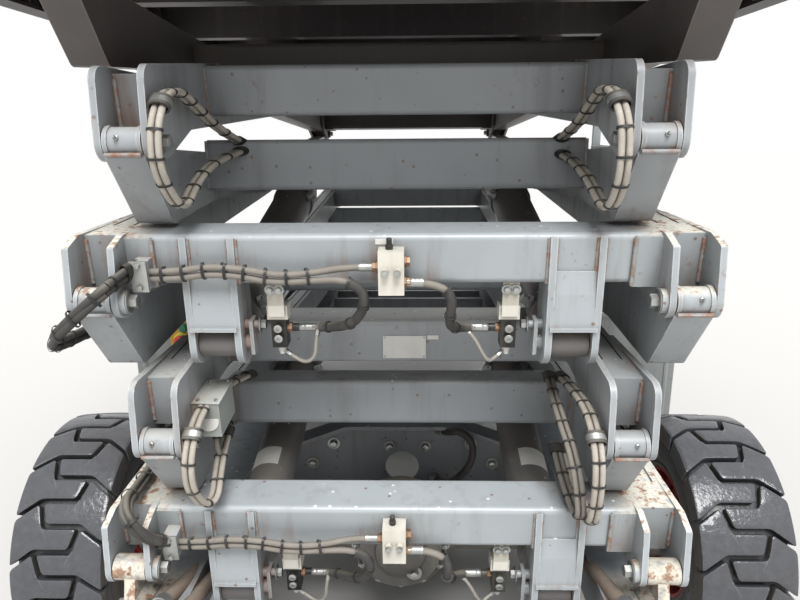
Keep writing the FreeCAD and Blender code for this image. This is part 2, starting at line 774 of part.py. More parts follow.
def cabinet(side, far):
    x0, x1 = cabinet_in, cabinet_out - door_thick
    shell = box(x0, x1, cabinet_near, far, cabinet_low, cabinet_top)
    room = box(x0 + sheet, x1 + 1, cabinet_near + sheet, far - sheet, cabinet_low + sheet, cabinet_top - sheet)
    shell = shell.cut(room)
    x, z, starts = door_hinges(far)
    parts = [shell]
    holes = []
    for y in starts:
        parts.append(disc_y(x, z, hinge_r, y, y + hinge_leaf))
        parts.append(box(x1 - 40, x, y, y + hinge_leaf, cabinet_top, z))
        holes.append(disc_y(x, z, hinge_pin_r + running_gap, y, y + hinge_leaf))
    shell = joined(parts).cut(holes)
    return shell if side > 0 else mirrored(shell)


def cabinet_door(side, far):
    x1 = cabinet_out
    x0 = x1 - door_thick + seat_gap
    panel = box(x0, x1, cabinet_near + door_gap, far - door_gap, cabinet_low + door_gap, cabinet_top - door_gap)
    middle = (cabinet_near + far) / 2
    panel = panel.cut(box(x1 - 8, x1 + 1, middle - 90, middle + 90, cabinet_low + 30, cabinet_low + 70))
    x, z, starts = door_hinges(far)
    parts = [panel]
    for start in starts:
        y = start + hinge_leaf + seat_gap
        parts.append(disc_y(x, z, hinge_r, y, y + hinge_leaf))
        parts.append(box(x, x + hinge_r, y, y + hinge_leaf, cabinet_top - door_gap, z))
        parts.append(disc_y(x, z, hinge_pin_r, start, y + 1))
    panel = joined(parts)
    return panel if side > 0 else mirrored(panel)


def engine_block():
    # Engine and pump in one, in the left cabinet
    x0 = cabinet_in + engine_room
    x1 = cabinet_out - door_thick - engine_room
    y0 = cabinet_near + (left_far - cabinet_near - engine_length) / 2
    return mirrored(box(x0, x1, y0, y0 + engine_length, cabinet_low + sheet, cabinet_top - 110))


def ladder():
    y0 = (gate_near + gate_near + gate_width) / 2 - ladder_width / 2
    y1 = y0 + ladder_width
    parts = []
    for y in (y0, y1 - 30):
        parts.append(box(ladder_x, ladder_x + 40, y, y + 30, ladder_low, ladder_top))
    gap = (ladder_top - 60 - ladder_low) / ladder_steps
    for i in range(ladder_steps):
        z = ladder_low + 20 + i * gap
        parts.append(box(ladder_x - 10, ladder_x + 50, y0 + 30, y1 - 30, z, z + 30))
    stay = [(rail_out + seat_gap, rail_top - 60, 0), (ladder_x, 850, 0), (ladder_x, 890, 0),
            (rail_out + seat_gap, rail_top - 14, 0)]
    for y in (y0, y1 - 30):
        parts.append(plate_y(stay, y, y + 30))
    return joined(parts)


def platform_frame():
    near, far = platform_near, platform_far
    half = platform_half
    side_beam = plate_y([(half - 62, beam_low, 0), (half, beam_low, 0), (half, beam_top, 0), (half - 62, beam_top, 0),
                         (half - 62, beam_top - 9, 0), (half - 9, beam_top - 9, 0), (half - 9, beam_low + 9, 0),
                         (half - 62, beam_low + 9, 0)], near, far)
    parts = pair(side_beam)
    cross_low = top_pin_z + 62
    for y in (near, -1100.0, -360.0, 380.0, 1120.0, far - 70):
        parts.append(box(-half + 9, half - 9, y, y + 70, cross_low, beam_top))
    y0 = near_pin_y + track_reach - roller_r - 50
    y1 = far_pin_y + roller_r + 30
    parts += pair(track(y0, y1, top_pin_z))
    roof = top_pin_z + roller_r + track_gap + track_wall
    parts += pair(box(outer_arm_x - side_gap, track_out, y0, y1, roof, beam_top))
    # Forks that hold the highest outer arms' barrels
    fork = [(near_pin_y - fork_eye_r, top_pin_z - fork_eye_r, fork_eye_r - 1),
            (near_pin_y - 60, beam_top, 0), (near_pin_y + 120, beam_top, 0),
            (near_pin_y + fork_eye_r, top_pin_z - fork_eye_r, fork_eye_r - 1)]
    for x0 in (outer_arm_x - fork_plate, outer_out):
        parts += pair(plate_x(fork, x0, x0 + fork_plate))
    parts += pair(disc_x(near_pin_y, top_pin_z, pin_r, outer_arm_x - fork_plate, outer_out + fork_plate))
    parts += pair(disc_x(near_pin_y, top_pin_z, pin_head_r, outer_arm_x - fork_plate - pin_head,
                         outer_arm_x - fork_plate))
    parts += pair(box(outer_arm_x - fork_plate, outer_out + fork_plate, near + 70, near_pin_y + 150,
                      beam_top - 30, beam_top))
    return joined(parts)


def rail_run(points, z):
    # Square rail tubes laid between (x, y) corners at one height
    runs = []
    h = rail_tube / 2
    for (xa, ya), (xb, yb) in zip(points, points[1:]):
        runs.append(box(min(xa, xb) - h, max(xa, xb) + h, min(ya, yb) - h, max(ya, yb) + h, z - rail_tube, z))
    return runs


def posts(places, z0, z1):
    h = rail_tube / 2
    return [box(x - h, x + h, y - h, y + h, z0, z1) for x, y in places]


def platform_rails():
    x = platform_half - rail_tube / 2 - 4
    near = platform_near + rail_tube / 2 + 4
    far = platform_far - rail_tube / 2 - 4
    g0 = gate_near - rail_tube / 2
    g1 = gate_near + gate_width + rail_tube / 2
    top = deck_top + rail_height
    path = [(x, g0), (x, near), (-x, near), (-x, far)]
    parts = []
    for z in (top, deck_top + mid_rail):
        parts += rail_run(path, z)
        parts += rail_run([(x, g1), (x, far)], z)
    stands = [(x, g0), (x, -900.0), (x, near), (0, near), (-x, near), (-x, -900.0), (-x, 0.0), (-x, 900.0),
              (-x, far), (x, g1), (x, 1300.0), (x, far)]
    parts += posts(stands, deck_top, top)
    hx, hy, starts = gate_hinges()
    holes = []
    for z in starts:
        parts.append(disc_z(hx, hy, hinge_r, z, z + hinge_leaf))
        parts.append(box(hx, x, hy - hinge_r, gate_near, z, z + hinge_leaf))
        holes.append(disc_z(hx, hy, hinge_pin_r + running_gap, z, z + hinge_leaf))
    h = 3.0
    parts.append(box(-x, x, near - h, near + h, deck_top, deck_top + toe_board))
    parts.append(box(-x - h, -x + h, near, far, deck_top, deck_top + toe_board))
    parts.append(box(x - h, x + h, near, g0, deck_top, deck_top + toe_board))
    parts.append(box(x - h, x + h, g1, far, deck_top, deck_top + toe_board))
    return joined(parts).cut(holes)


def gate_hinges():
    # The upright line that the gate turns about, inside the rail, and where each hinge starts
    x = platform_half - rail_tube / 2 - 4 - gate_hinge_in
    return x, gate_near + gate_play / 2, (deck_top + 260, deck_top + 780)


def gate():
    x = platform_half - rail_tube / 2 - 4
    y0 = gate_near + gate_play
    y1 = gate_near + gate_width - gate_play
    top = deck_top + rail_height
    h = gate_bar / 2
    parts = [box(x - h, x + h, y0, y1, z - gate_bar, z) for z in (top - 4, deck_top + mid_rail, deck_top + 190)]
    parts += [box(x - h, x + h, y, y + gate_bar, deck_top + 160, top - 4) for y in (y0, y1 - gate_bar)]
    hx, hy, starts = gate_hinges()
    for start in starts:
        z = start + hinge_leaf + seat_gap
        parts.append(disc_z(hx, hy, hinge_r, z, z + hinge_leaf))
        parts.append(box(hx, x - h + 2, y0, hy + hinge_r + 4, z, z + hinge_leaf))
        parts.append(disc_z(hx, hy, hinge_pin_r, start, z + 1))
    return joined(parts)


def extension_deck():
    x = platform_half - extension_gap - 10
    skid_top = deck_top + 10
    floor = box(-x, x, extension_near, platform_far - 6, skid_top, skid_top + deck_thick)
    skids = [box(side * 600 - 30, side * 600 + 30, extension_near, platform_far - 6, deck_top + seat_gap, skid_top)
             for side in (-1, 0, 1)]
    return joined([floor] + skids)


def extension_rails():
    x = platform_half - extension_gap - rail_tube / 2 - 12
    near = extension_near + rail_tube / 2
    far = platform_far - rail_tube / 2 - 8
    z0 = deck_top + 10 + deck_thick
    top = deck_top + rail_height
    parts = []
    for z in (top, deck_top + mid_rail):
        parts += rail_run([(x, near), (x, far), (-x, far), (-x, near)], z)
    parts += posts([(x, near), (x, far), (0, far), (-x, far), (-x, near)], z0, top)
    h = 3.0
    parts.append(box(-x, x, far - h, far + h, z0, z0 + toe_board))
    return joined(parts)


def control_box():
    x = platform_half - extension_gap - rail_tube - 12
    y = 1350.0
    top = deck_top + rail_height
    z = top - 230
    case = plate_y([(x - 150, z, 10), (x - 20, z, 0), (x - 20, z + 200, 0), (x - 90, z + 200, 10)], y, y + 260)
    stick = disc_z(x - 60, y + 60, 14, z + 190, z + 225)
    hook = box(x - 24, x - seat_gap, y + 40, y + 220, top - 60, top - 6)
    return joined([case, stick, hook])


def ground_panel():
    # Emergency stop panel on the near end of the left cabinet
    x = -880.0
    y = cabinet_near
    z = 910.0
    case = plate_y([(x - 46, z - 60, 6), (x + 46, z - 60, 6), (x + 46, z + 90, 6), (x - 46, z + 90, 6)], y - 26, y)
    stop = disc_y(x, z, 20, y - 56, y - 26)
    start = disc_y(x + 14, z + 52, 14, y - 44, y - 26)
    return joined([case, stop, start])


def build():
    os.makedirs("parts", exist_ok=True)
    for level in range(1, levels + 1):
        for family in ("outer", "inner"):
            save(family + "_arms_" + str(level), placed(arm_frame(family, level), family, level))
    save("lower_valves", [placed(valve, "outer", 1) for valve in valve_gear()])
    save("upper_valves", [placed(valve, "outer", 3) for valve in valve_gear()])
    hoses = [hose(route) for route in (supply_route, left_route, right_route)]
    save("lower_hoses", [placed(line, "outer", 1) for line in hoses])
    save("upper_hoses", [placed(line, "outer", 3) for line in hoses])
    save("sensor_box", placed(sensor_box(), "inner", 2))
    save("base_rollers", rollers(far_pin_y, base_pin_z))
    save("platform_rollers", rollers(far_pin_y, top_pin_z))
    for level, name in ((1, "lower"), (3, "upper")):
        barrels, rods, length, rise = cylinder_pair(level)
        save(name + "_cylinder_barrels", barrels)
        save(name + "_cylinder_rods", rods)
        print(name, "pair from eye to eye", round(length, 2), "at", round(rise, 3), "degrees")
    corners = (("near_left", -1, near_axle_y), ("near_right", 1, near_axle_y),
               ("far_left", -1, far_axle_y), ("far_right", 1, far_axle_y))
    rubber = tyre()
    for name, side, y in corners:
        copy = rubber.copy()
        copy.translate(V(side * wheel_x, y, tyre_r))
        save("tyre_" + name, copy)
        wheel = rim(wheel_x, y)
        save("rim_" + name, wheel if side > 0 else mirrored(wheel))
    save("near_axle", near_axle())
    save("far_axle", far_axle())
    save("knuckle_left", knuckle(-1))
    save("knuckle_right", knuckle(1))
    save("tie_rod", tie_rod())
    save("chassis_frame", chassis_frame())
    save("tie_down_lugs", tie_down_lugs())
    for name, side, far in (("left", -1, left_far), ("right", 1, right_far)):
        save(name + "_cabinet", cabinet(side, far))
        save(name + "_door", cabinet_door(side, far))
    save("engine_block", engine_block())
    save("ground_panel", ground_panel())
    save("ladder", ladder())
    save("platform_frame", platform_frame())
    save("platform_deck", box(-platform_half + 1, platform_half - 1, platform_near + 1, platform_far - 1,
                              beam_top, deck_top))
    save("platform_rails", platform_rails())
    save("gate", gate())
    save("extension_deck", extension_deck())
    save("extension_rails", extension_rails())
    save("control_box", control_box())


build()
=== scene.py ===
import bpy
import bmesh
import math
import random
from mathutils import Matrix, Vector


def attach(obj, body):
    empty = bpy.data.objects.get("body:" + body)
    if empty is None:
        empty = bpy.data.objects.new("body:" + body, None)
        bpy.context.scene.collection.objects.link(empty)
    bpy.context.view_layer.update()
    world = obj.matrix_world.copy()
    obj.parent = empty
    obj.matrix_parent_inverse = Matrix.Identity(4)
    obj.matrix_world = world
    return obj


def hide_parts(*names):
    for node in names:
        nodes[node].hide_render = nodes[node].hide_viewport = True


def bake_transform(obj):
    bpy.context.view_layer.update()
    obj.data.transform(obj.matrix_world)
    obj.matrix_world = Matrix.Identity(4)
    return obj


# Rough-terrain scissor lift, stowed, seen from between the arm ends at its pinned end.

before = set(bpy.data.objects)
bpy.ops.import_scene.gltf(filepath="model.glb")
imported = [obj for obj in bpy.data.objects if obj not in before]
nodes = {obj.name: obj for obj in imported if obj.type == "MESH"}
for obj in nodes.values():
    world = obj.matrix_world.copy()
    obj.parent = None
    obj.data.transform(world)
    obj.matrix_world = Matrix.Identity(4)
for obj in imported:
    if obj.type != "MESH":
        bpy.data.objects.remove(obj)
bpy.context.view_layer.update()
random.seed(7)
print("frame loaded:", len(nodes), "nodes")


# Camera: a phone's wide lens held at head height, tipped down a little
view = {"x": 0.0506, "y": -3.1196, "height": 1.7086, "tip": 14.822, "turn": 1.328, "roll": 0.436, "lens": 28.8}

lens = bpy.data.cameras.new("viewLens")
lens.lens = view["lens"]
lens.sensor_width = 36.0
lens.clip_start = 0.05
lens.clip_end = 200.0
camera = bpy.data.objects.new("viewCamera", lens)
camera.location = (view["x"], view["y"], view["height"])
camera.rotation_euler = (math.radians(90 - view["tip"]), math.radians(view["roll"]), math.radians(view["turn"]))
bpy.context.scene.collection.objects.link(camera)
bpy.context.scene.camera = camera
print("camera placed")


# Finishes
def colour(hexText, alpha=1.0):
    # sRGB hex to the linear values that the nodes take
    parts = [int(hexText[i:i + 2], 16) / 255 for i in (1, 3, 5)]
    linear = [p / 12.92 if p <= 0.04045 else ((p + 0.055) / 1.055) ** 2.4 for p in parts]
    return (*linear, alpha)


def addNode(tree, kind, settings=None, links=None):
    # One node, with its properties, its sockets' values and its incoming links
    node = tree.nodes.new(kind)
    for name, value in (settings or {}).items():
        if isinstance(name, int) or name in node.inputs:
            node.inputs[name].default_value = value
        else:
            setattr(node, name, value)
    for name, source in (links or {}).items():
        tree.links.new(source, node.inputs[name])
    return node


def newMaterial(name, metallic=0.0, ior=1.5, coat=0.0):
    material = bpy.data.materials.new(name)
    material.use_nodes = True
    tree = material.node_tree
    tree.nodes.clear()
    output = tree.nodes.new("ShaderNodeOutputMaterial")
    shader = tree.nodes.new("ShaderNodeBsdfPrincipled")
    shader.inputs["Metallic"].default_value = metallic
    shader.inputs["IOR"].default_value = ior
    shader.inputs["Coat Weight"].default_value = coat
    tree.links.new(shader.outputs["BSDF"], output.inputs["Surface"])
    return material, tree, shader


def surfaceMasks(tree, edgeWidth):
    # Where a surface is patchy, streaked, spotted, on an outer edge, in a corner, or facing up
    at = addNode(tree, "ShaderNodeTexCoord").outputs["Object"]
    patchy = addNode(tree, "ShaderNodeTexNoise", {"Scale": 2.6, "Detail": 5.0, "Roughness": 0.6}, {"Vector": at})
    drawn = addNode(tree, "ShaderNodeMapping", {"Scale": (17.0, 17.0, 1.4)}, {"Vector": at})
    streak = addNode(tree, "ShaderNodeTexNoise", {"Scale": 1.0, "Detail": 6.0, "Roughness": 0.62},
                     {"Vector": drawn.outputs[0]})
    spots = addNode(tree, "ShaderNodeTexNoise", {"Scale": 34.0, "Detail": 7.0, "Roughness": 0.68}, {"Vector": at})
    shape = addNode(tree, "ShaderNodeNewGeometry")
    soft = addNode(tree, "ShaderNodeBevel", {"Radius": edgeWidth, "samples": 3})
    bend = addNode(tree, "ShaderNodeVectorMath", {"operation": "DOT_PRODUCT"},
                   {0: shape.outputs["True Normal"], 1: soft.outputs[0]})
    anyEdge = addNode(tree, "ShaderNodeMapRange", {"From Min": 0.985, "From Max": 0.86}, {"Value": bend.outputs[1]})
    hollow = addNode(tree, "ShaderNodeAmbientOcclusion", {"Distance": 0.08, "samples": 3})
    opened = addNode(tree, "ShaderNodeMapRange", {"From Min": 0.55, "From Max": 0.9},
                     {"Value": hollow.outputs["AO"]})
    closed = addNode(tree, "ShaderNodeMapRange", {"From Min": 0.85, "From Max": 0.35},
                     {"Value": hollow.outputs["AO"]})
    edge = addNode(tree, "ShaderNodeMath", {"operation": "MULTIPLY"}, {0: anyEdge.outputs[0], 1: opened.outputs[0]})
    facing = addNode(tree, "ShaderNodeSeparateXYZ", None, {0: shape.outputs["Normal"]})
    upward = addNode(tree, "ShaderNodeMapRange", {"From Min": 0.45, "From Max": 0.95},
                     {"Value": facing.outputs[2]})
    # Flecks a few millimetres wide in some of the cells of a 30 mm pattern
    cells = addNode(tree, "ShaderNodeTexVoronoi", {"Scale": 34.0}, {"Vector": at})
    fleck = addNode(tree, "ShaderNodeMapRange", {"From Min": 0.17, "From Max": 0.10}, {"Value": cells.outputs[0]})
    chance = addNode(tree, "ShaderNodeSeparateColor", None, {0: cells.outputs[1]})
    some = addNode(tree, "ShaderNodeMath", {"operation": "GREATER_THAN", 1: 0.5}, {0: chance.outputs[0]})
    flecks = addNode(tree, "ShaderNodeMath", {"operation": "MULTIPLY"}, {0: fleck.outputs[0], 1: some.outputs[0]})
    return {"at": at, "flecks": flecks.outputs[0], "chance": chance.outputs[1], "patchy": patchy.outputs[0],
            "streak": streak.outputs[0], "spots": spots.outputs[0], "edge": edge.outputs[0],
            "closed": closed.outputs[0], "upward": upward.outputs[0], "side": facing.outputs[0]}


def masked(tree, mask, low, high, amount, other=None):
    # A mask stretched from low to high, weakened to amount, and kept to where the other mask is
    bounded = addNode(tree, "ShaderNodeMapRange", {"From Min": low, "From Max": high, "To Max": amount},
                      {"Value": mask})
    if other is None:
        return bounded.outputs[0]
    both = addNode(tree, "ShaderNodeMath", {"operation": "MULTIPLY"}, {0: bounded.outputs[0], 1: other})
    return both.outputs[0]


def layered(tree, mask, darkHex, lightHex, layers):
    # A two-tone ground with colours laid over it, each by its own mask
    ground = addNode(tree, "ShaderNodeMix", {"data_type": "RGBA", 6: colour(darkHex), 7: colour(lightHex)},
                     {0: mask})
    now = ground.outputs[2]
    for cover, hexText in layers:
        step = addNode(tree, "ShaderNodeMix", {"data_type": "RGBA", 7: colour(hexText)}, {0: cover, 6: now})
        now = step.outputs[2]
    return now


def roughened(tree, shader, parts, base):
    # Roughness that each layer of dirt, rust or dust adds to
    now = None
    for cover, amount in parts:
        step = addNode(tree, "ShaderNodeMath", {"operation": "MULTIPLY_ADD", 1: amount, 2: base}, {0: cover})
        if now is not None:
            tree.links.new(now, step.inputs[2])
        now = step.outputs[0]
    tree.links.new(now, shader.inputs["Roughness"])


def grained(tree, shader, masks, scale, depth, strength, height=None):
    # Fine unevenness as bump; scale is per metre, depth in metres
    grain = addNode(tree, "ShaderNodeTexNoise", {"Scale": scale, "Detail": 3.0}, {"Vector": masks["at"]})
    bump = addNode(tree, "ShaderNodeBump", {"Strength": strength, "Distance": depth}, {"Height": grain.outputs[0]})
    if height is not None:
        bump = addNode(tree, "ShaderNodeBump", {"Strength": 0.5, "Distance": 0.0012},
                       {"Height": height, "Normal": bump.outputs[0]})
    tree.links.new(bump.outputs[0], shader.inputs["Normal"])


def completed(material, tree, shader, masks, skin, dirt, base, grain):
    # Colour, roughness and grain of a finish; grain is (scale, depth, strength) and sometimes a height
    tree.links.new(skin, shader.inputs["Base Color"])
    roughened(tree, shader, dirt, base)
    grained(tree, shader, masks, *grain)
    return material


def paintedSteel(name, darkHex, lightHex, worn="#c9cdcd", dustHex="#bdbab0", dust=0.45, rust=0.5, grime=0.45,
                 gloss=0.36, fade=None):
    # Sprayed enamel on plate: semi-gloss with a fine orange peel, chalked and dusty on top, rusty where it chips,
    # darkened in its corners by painted shade and paled on its edges by wear and a painted highlight
    material, tree, shader = newMaterial(name, coat=0.06)
    masks = surfaceMasks(tree, 0.0045)
    dirtCover = masked(tree, masks["streak"], 0.52, 0.78, grime)
    # Painted shade: hollows found by the occlusion mask darkened towards #4a4640
    cornerShadeCover = masked(tree, masks["closed"], 0.1, 1.0, 0.55)
    topCover = masked(tree, masks["patchy"], 0.3, 0.62, dust, masks["upward"])
    if fade:
        # Arm tops bleached to cream towards the pinned end, from fade["far"] to fade["near"] along y
        place = addNode(tree, "ShaderNodeSeparateXYZ", None, {0: masks["at"]})
        across = addNode(tree, "ShaderNodeMath", {"operation": "ABSOLUTE"}, {0: place.outputs[0]}).outputs[0]
        where = masks["upward"]
        if "above" in fade:
            where = masked(tree, place.outputs[2], fade["above"], fade["above"] + 0.06, 1.0)
        reach = masked(tree, place.outputs[1], fade["far"], fade["near"], 1.0, where)
        arms = masked(tree, across, 0.50, 0.57, 1.0, reach)
        topCover = masked(tree, masks["spots"], 0.30, 0.50, fade["amount"], arms)
    # Outer edges paled to the worn colour: partly bare-metal wear, partly a painted highlight of the sky along the
    # edges
    edgeWearAndHighlight = masked(tree, masks["edge"], 0.0, 0.8, 0.85)
    chip = masked(tree, masks["spots"], 0.60, 0.70, rust)
    chipEdge = masked(tree, masks["spots"], 0.50, 0.60, rust, masks["edge"])
    chipCorner = masked(tree, masks["streak"], 0.50, 0.66, rust, masks["closed"])
    patch = masked(tree, masks["patchy"], 0.50, 0.62, 1.0, chip)
    if fade:
        # Rust eats in where the bleached paint is thinnest
        eaten = masked(tree, masks["spots"], 0.52, 0.60, 0.8, arms)
        patch = addNode(tree, "ShaderNodeMath", {"operation": "MAXIMUM"}, {0: patch, 1: eaten}).outputs[0]
    speck = masked(tree, masks["chance"], 0.45, 0.46, rust, masks["flecks"])
    splash = masked(tree, masks["chance"], 0.44, 0.43, 0.85, masked(tree, masks["upward"], 0.0, 1.0, 1.0,
                                                                     masks["flecks"]))
    paint = layered(tree, masks["patchy"], darkHex, lightHex,
                    [(dirtCover, "#6b6862"), (topCover, dustHex), (cornerShadeCover, "#4a4640"), (edgeWearAndHighlight, worn),
                     (chipCorner, "#7b5136"), (chipEdge, "#8a5a38"), (patch, "#7d4f31"), (speck, "#6f4a33"),
                     (splash, "#dcdcd6")])
    return completed(material, tree, shader, masks, paint,
                     [(topCover, 0.45), (dirtCover, 0.35), (chipEdge, 0.5), (patch, 0.5)], gloss,
                     (700.0, 0.0004, 0.18, patch))


def castFinish(name, darkHex, lightHex, rough=0.6, metallic=0.0, scale=240.0, depth=0.001, dust=0.5, edge="#8d8a84",
               dustHex="#8c8578"):
    # Rough castings, forgings, rubber and moulded covers: uneven skin, dust on top, paler on its edges by wear and
    # a painted highlight, darker in its corners by painted shade
    material, tree, shader = newMaterial(name, metallic=metallic)
    masks = surfaceMasks(tree, 0.003)
    topCover = masked(tree, masks["patchy"], 0.28, 0.6, dust, masks["upward"])
    dirtCover = masked(tree, masks["streak"], 0.5, 0.75, dust * 0.7)
    # Edges paled to the edge colour: partly wear, partly a painted highlight
    edgeWearAndHighlight = masked(tree, masks["edge"], 0.1, 0.9, 0.45)
    # Painted shade: hollows found by the occlusion mask darkened towards #2c2926
    cornerShadeCover = masked(tree, masks["closed"], 0.1, 1.0, 0.5)
    skin = layered(tree, masks["spots"], darkHex, lightHex,
                   [(dirtCover, dustHex), (topCover, dustHex), (cornerShadeCover, "#2c2926"), (edgeWearAndHighlight, edge)])
    return completed(material, tree, shader, masks, skin, [(topCover, 0.3), (dirtCover, 0.2)], rough,
                     (scale, depth, 0.35))


framePaint = paintedSteel("greyEnamel", "#8b9093", "#acb1b3")
armPaint = paintedSteel("fadedArmEnamel", "#8b9093", "#acb1b3", dustHex="#d9d3c3", rust=0.75,
                        fade={"far": -1.25, "near": -1.62, "amount": 0.9})
innerPaint = paintedSteel("innerArmEnamel", "#888c8f", "#a8abad", rust=0.6)
# Painted shade: the underframe is given a dark brown-grey for the shade it stands in under the deck
platformShadePaint = paintedSteel("shadeDarkenedUnderframePaint", "#2e2829", "#40393a", worn="#6b5a50", dustHex="#5c544e",
                             rust=0.45, grime=0.3, gloss=0.55)
chassisPaint = paintedSteel("chassisEnamel", "#6f7479", "#8d9194", worn="#a9a9a4", dustHex="#cfc8b8", rust=0.9,
                            grime=0.7, gloss=0.5, fade={"far": -1.70, "near": -1.76, "amount": 0.95, "above": 0.50})
cabinetPaint = paintedSteel("cabinetEnamel", "#7d807f", "#999c9a", rust=0.35, grime=0.85, gloss=0.42)
railPaint = paintedSteel("railEnamel", "#8a8f92", "#a8acae", rust=0.4)
rimPaint = paintedSteel("redWheelEnamel", "#7d1216", "#a31c20", worn="#c25a50", dustHex="#7a5a50", rust=0.35,
                        grime=0.4, gloss=0.34)
cylinderPaint = paintedSteel("cylinderEnamel", "#565352", "#777371", worn="#96928c", dustHex="#8a847a", dust=0.8,
                             rust=0.2, grime=0.4, gloss=0.42)
panelPaint = paintedSteel("yellowPanelEnamel", "#b58f1d", "#cda42a", worn="#e0d29a", rust=0.2)
caseEnamel = paintedSteel("sensorCaseEnamel", "#8b8f8c", "#a3a7a2", worn="#c4c6c0", rust=0.55, grime=0.3)
axleIron = castFinish("axleCasting", "#4d4b48", "#6d6a64", rough=0.62, depth=0.002, dust=0.75)
engineIron = castFinish("engineCasting", "#26282a", "#3a3c3e", rough=0.55)
rubberCover = castFinish("hoseRubber", "#2b2a29", "#45423f", rough=0.55, scale=500.0, depth=0.0006, dust=0.45,
                         edge="#6d6861")
nylonSleeve = castFinish("hoseSleeve", "#8b8278", "#c4bdb1", rough=0.7, scale=900.0, depth=0.0012, dust=0.4,
                         edge="#d8d0c2", dustHex="#8f8474")
paleSleeve = castFinish("clearCoatedHose", "#77736d", "#a09a90", rough=0.4, scale=600.0, depth=0.0004, dust=0.25,
                        edge="#b5b0a6", dustHex="#7b7265")
greySleeve = castFinish("wornHoseSleeve", "#6a655f", "#8f887e", rough=0.68, scale=900.0, depth=0.0012, dust=0.3,
                        edge="#aaa397", dustHex="#7b7265")
tiePlastic = castFinish("blackNylon", "#141415", "#262627", rough=0.45, scale=300.0, depth=0.0003, dust=0.3,
                        edge="#4a4a4a")
rustyPipe = castFinish("rustyPipe", "#5f4a3c", "#8d7f74", rough=0.7, dust=0.4, edge="#a59a90")
# Painted shade: a darkened copy of the arm enamel for the top outer arms, which stand in the platform's shade
shadedPaint = paintedSteel("shadeDarkenedArmEnamel", "#4c4745", "#625c59", worn="#8b8680", dustHex="#6e665e", rust=0.6,
                           grime=0.4, gloss=0.5)
rollerNylon = castFinish("rollerNylon", "#9a927f", "#b3ab98", rough=0.5)
redMushroom = castFinish("redButtonPlastic", "#b0141a", "#d4262b", rough=0.3, scale=90.0, depth=0.0002, dust=0.15,
                         edge="#e06a64", dustHex="#a06a60")
yellowRing = castFinish("yellowRingPlastic", "#d7c026", "#e9d53c", rough=0.35, scale=90.0, depth=0.0002, dust=0.2,
                        edge="#f0e58c")
greenButton = castFinish("greenButtonPlastic", "#135f46", "#1f7d5c", rough=0.35, scale=90.0, depth=0.0002,
                         dust=0.15, edge="#4fa88a")
controlPlastic = castFinish("controlHousing", "#2b2d2f", "#3b3d40", rough=0.5, scale=400.0, depth=0.0006, dust=0.3,
                            edge="#5d5f61")
whiteFilm = castFinish("plainPlateFilm", "#d8d5cd", "#ebe9e3", rough=0.4, scale=60.0, depth=0.0002, dust=0.35,
                       edge="#efeeea", dustHex="#a39c8f")


def metalFinish(name, darkHex, lightHex, rough, metallic=0.85, scale=160.0, tarnish="#6f675c"):
    # Zinc-plated, brass or chromed steel: bright where handled, dulled by streaks, darkened in corners by painted
    # shade
    material, tree, shader = newMaterial(name, metallic=metallic)
    masks = surfaceMasks(tree, 0.002)
    dull = masked(tree, masks["streak"], 0.45, 0.75, 0.6)
    # Painted shade: hollows found by the occlusion mask darkened towards #3b362f and roughened
    corner = masked(tree, masks["closed"], 0.1, 1.0, 0.6)
    skin = layered(tree, masks["spots"], darkHex, lightHex, [(dull, tarnish), (corner, "#3b362f")])
    return completed(material, tree, shader, masks, skin, [(dull, 0.3), (corner, 0.3)], rough,
                     (scale, 0.0004, 0.15))


zincSteel = metalFinish("zincPlatedSteel", "#9fa19f", "#c9cbc8", 0.32)
brassFitting = metalFinish("brassFitting", "#8d6c54", "#a98a70", 0.42, metallic=0.6, tarnish="#5d4a3c")
rodChrome = metalFinish("hardChrome", "#b9bbbd", "#d6d8da", 0.12, metallic=1.0, tarnish="#8d8b87")


def weldFinish():
    # Arc-weld bead under thin paint: rippled, rust bleeding through
    material, tree, shader = newMaterial("rustyWeld")
    masks = surfaceMasks(tree, 0.002)
    bleed = masked(tree, masks["spots"], 0.42, 0.6, 0.8)
    skin = layered(tree, masks["patchy"], "#7c7f80", "#a5a7a6", [(bleed, "#8b5c3c")])
    tree.links.new(skin, shader.inputs["Base Color"])
    roughened(tree, shader, [(bleed, 0.3)], 0.55)
    ripple = addNode(tree, "ShaderNodeTexNoise", {"Scale": 150.0, "Detail": 2.0}, {"Vector": masks["at"]})
    bump = addNode(tree, "ShaderNodeBump", {"Strength": 0.8, "Distance": 0.002}, {"Height": ripple.outputs[0]})
    tree.links.new(bump.outputs[0], shader.inputs["Normal"])
    return material


weldBead = weldFinish()


def treadPlateFinish():
    # Rolled chequer plate: lozenges about 28 mm apart stand 1.5 mm proud, bright where feet rub them
    material, tree, shader = newMaterial("chequerPlate", metallic=0.75)
    masks = surfaceMasks(tree, 0.002)
    heights = []
    for turn in (45, -45):
        laid = addNode(tree, "ShaderNodeMapping", {"Rotation": (0.0, 0.0, math.radians(turn)),
                                                   "Scale": (36.0, 12.0, 1.0)}, {"Vector": masks["at"]})
        cell = addNode(tree, "ShaderNodeTexVoronoi", {"Scale": 1.0, "Randomness": 0.0},
                       {"Vector": laid.outputs[0]})
        heights.append(masked(tree, cell.outputs[0], 0.34, 0.24, 1.0))
    raised = addNode(tree, "ShaderNodeMath", {"operation": "MAXIMUM"}, {0: heights[0], 1: heights[1]}).outputs[0]
    dirt = masked(tree, masks["patchy"], 0.4, 0.7, 0.7)
    rubbed = masked(tree, raised, 0.4, 1.0, 0.5)
    skin = layered(tree, masks["spots"], "#7d7f7e", "#9b9d9b", [(dirt, "#6b665d"), (rubbed, "#c3c5c3")])
    tree.links.new(skin, shader.inputs["Base Color"])
    roughened(tree, shader, [(dirt, 0.35)], 0.35)
    bump = addNode(tree, "ShaderNodeBump", {"Strength": 0.9, "Distance": 0.0015}, {"Height": raised})
    tree.links.new(bump.outputs[0], shader.inputs["Normal"])
    return material


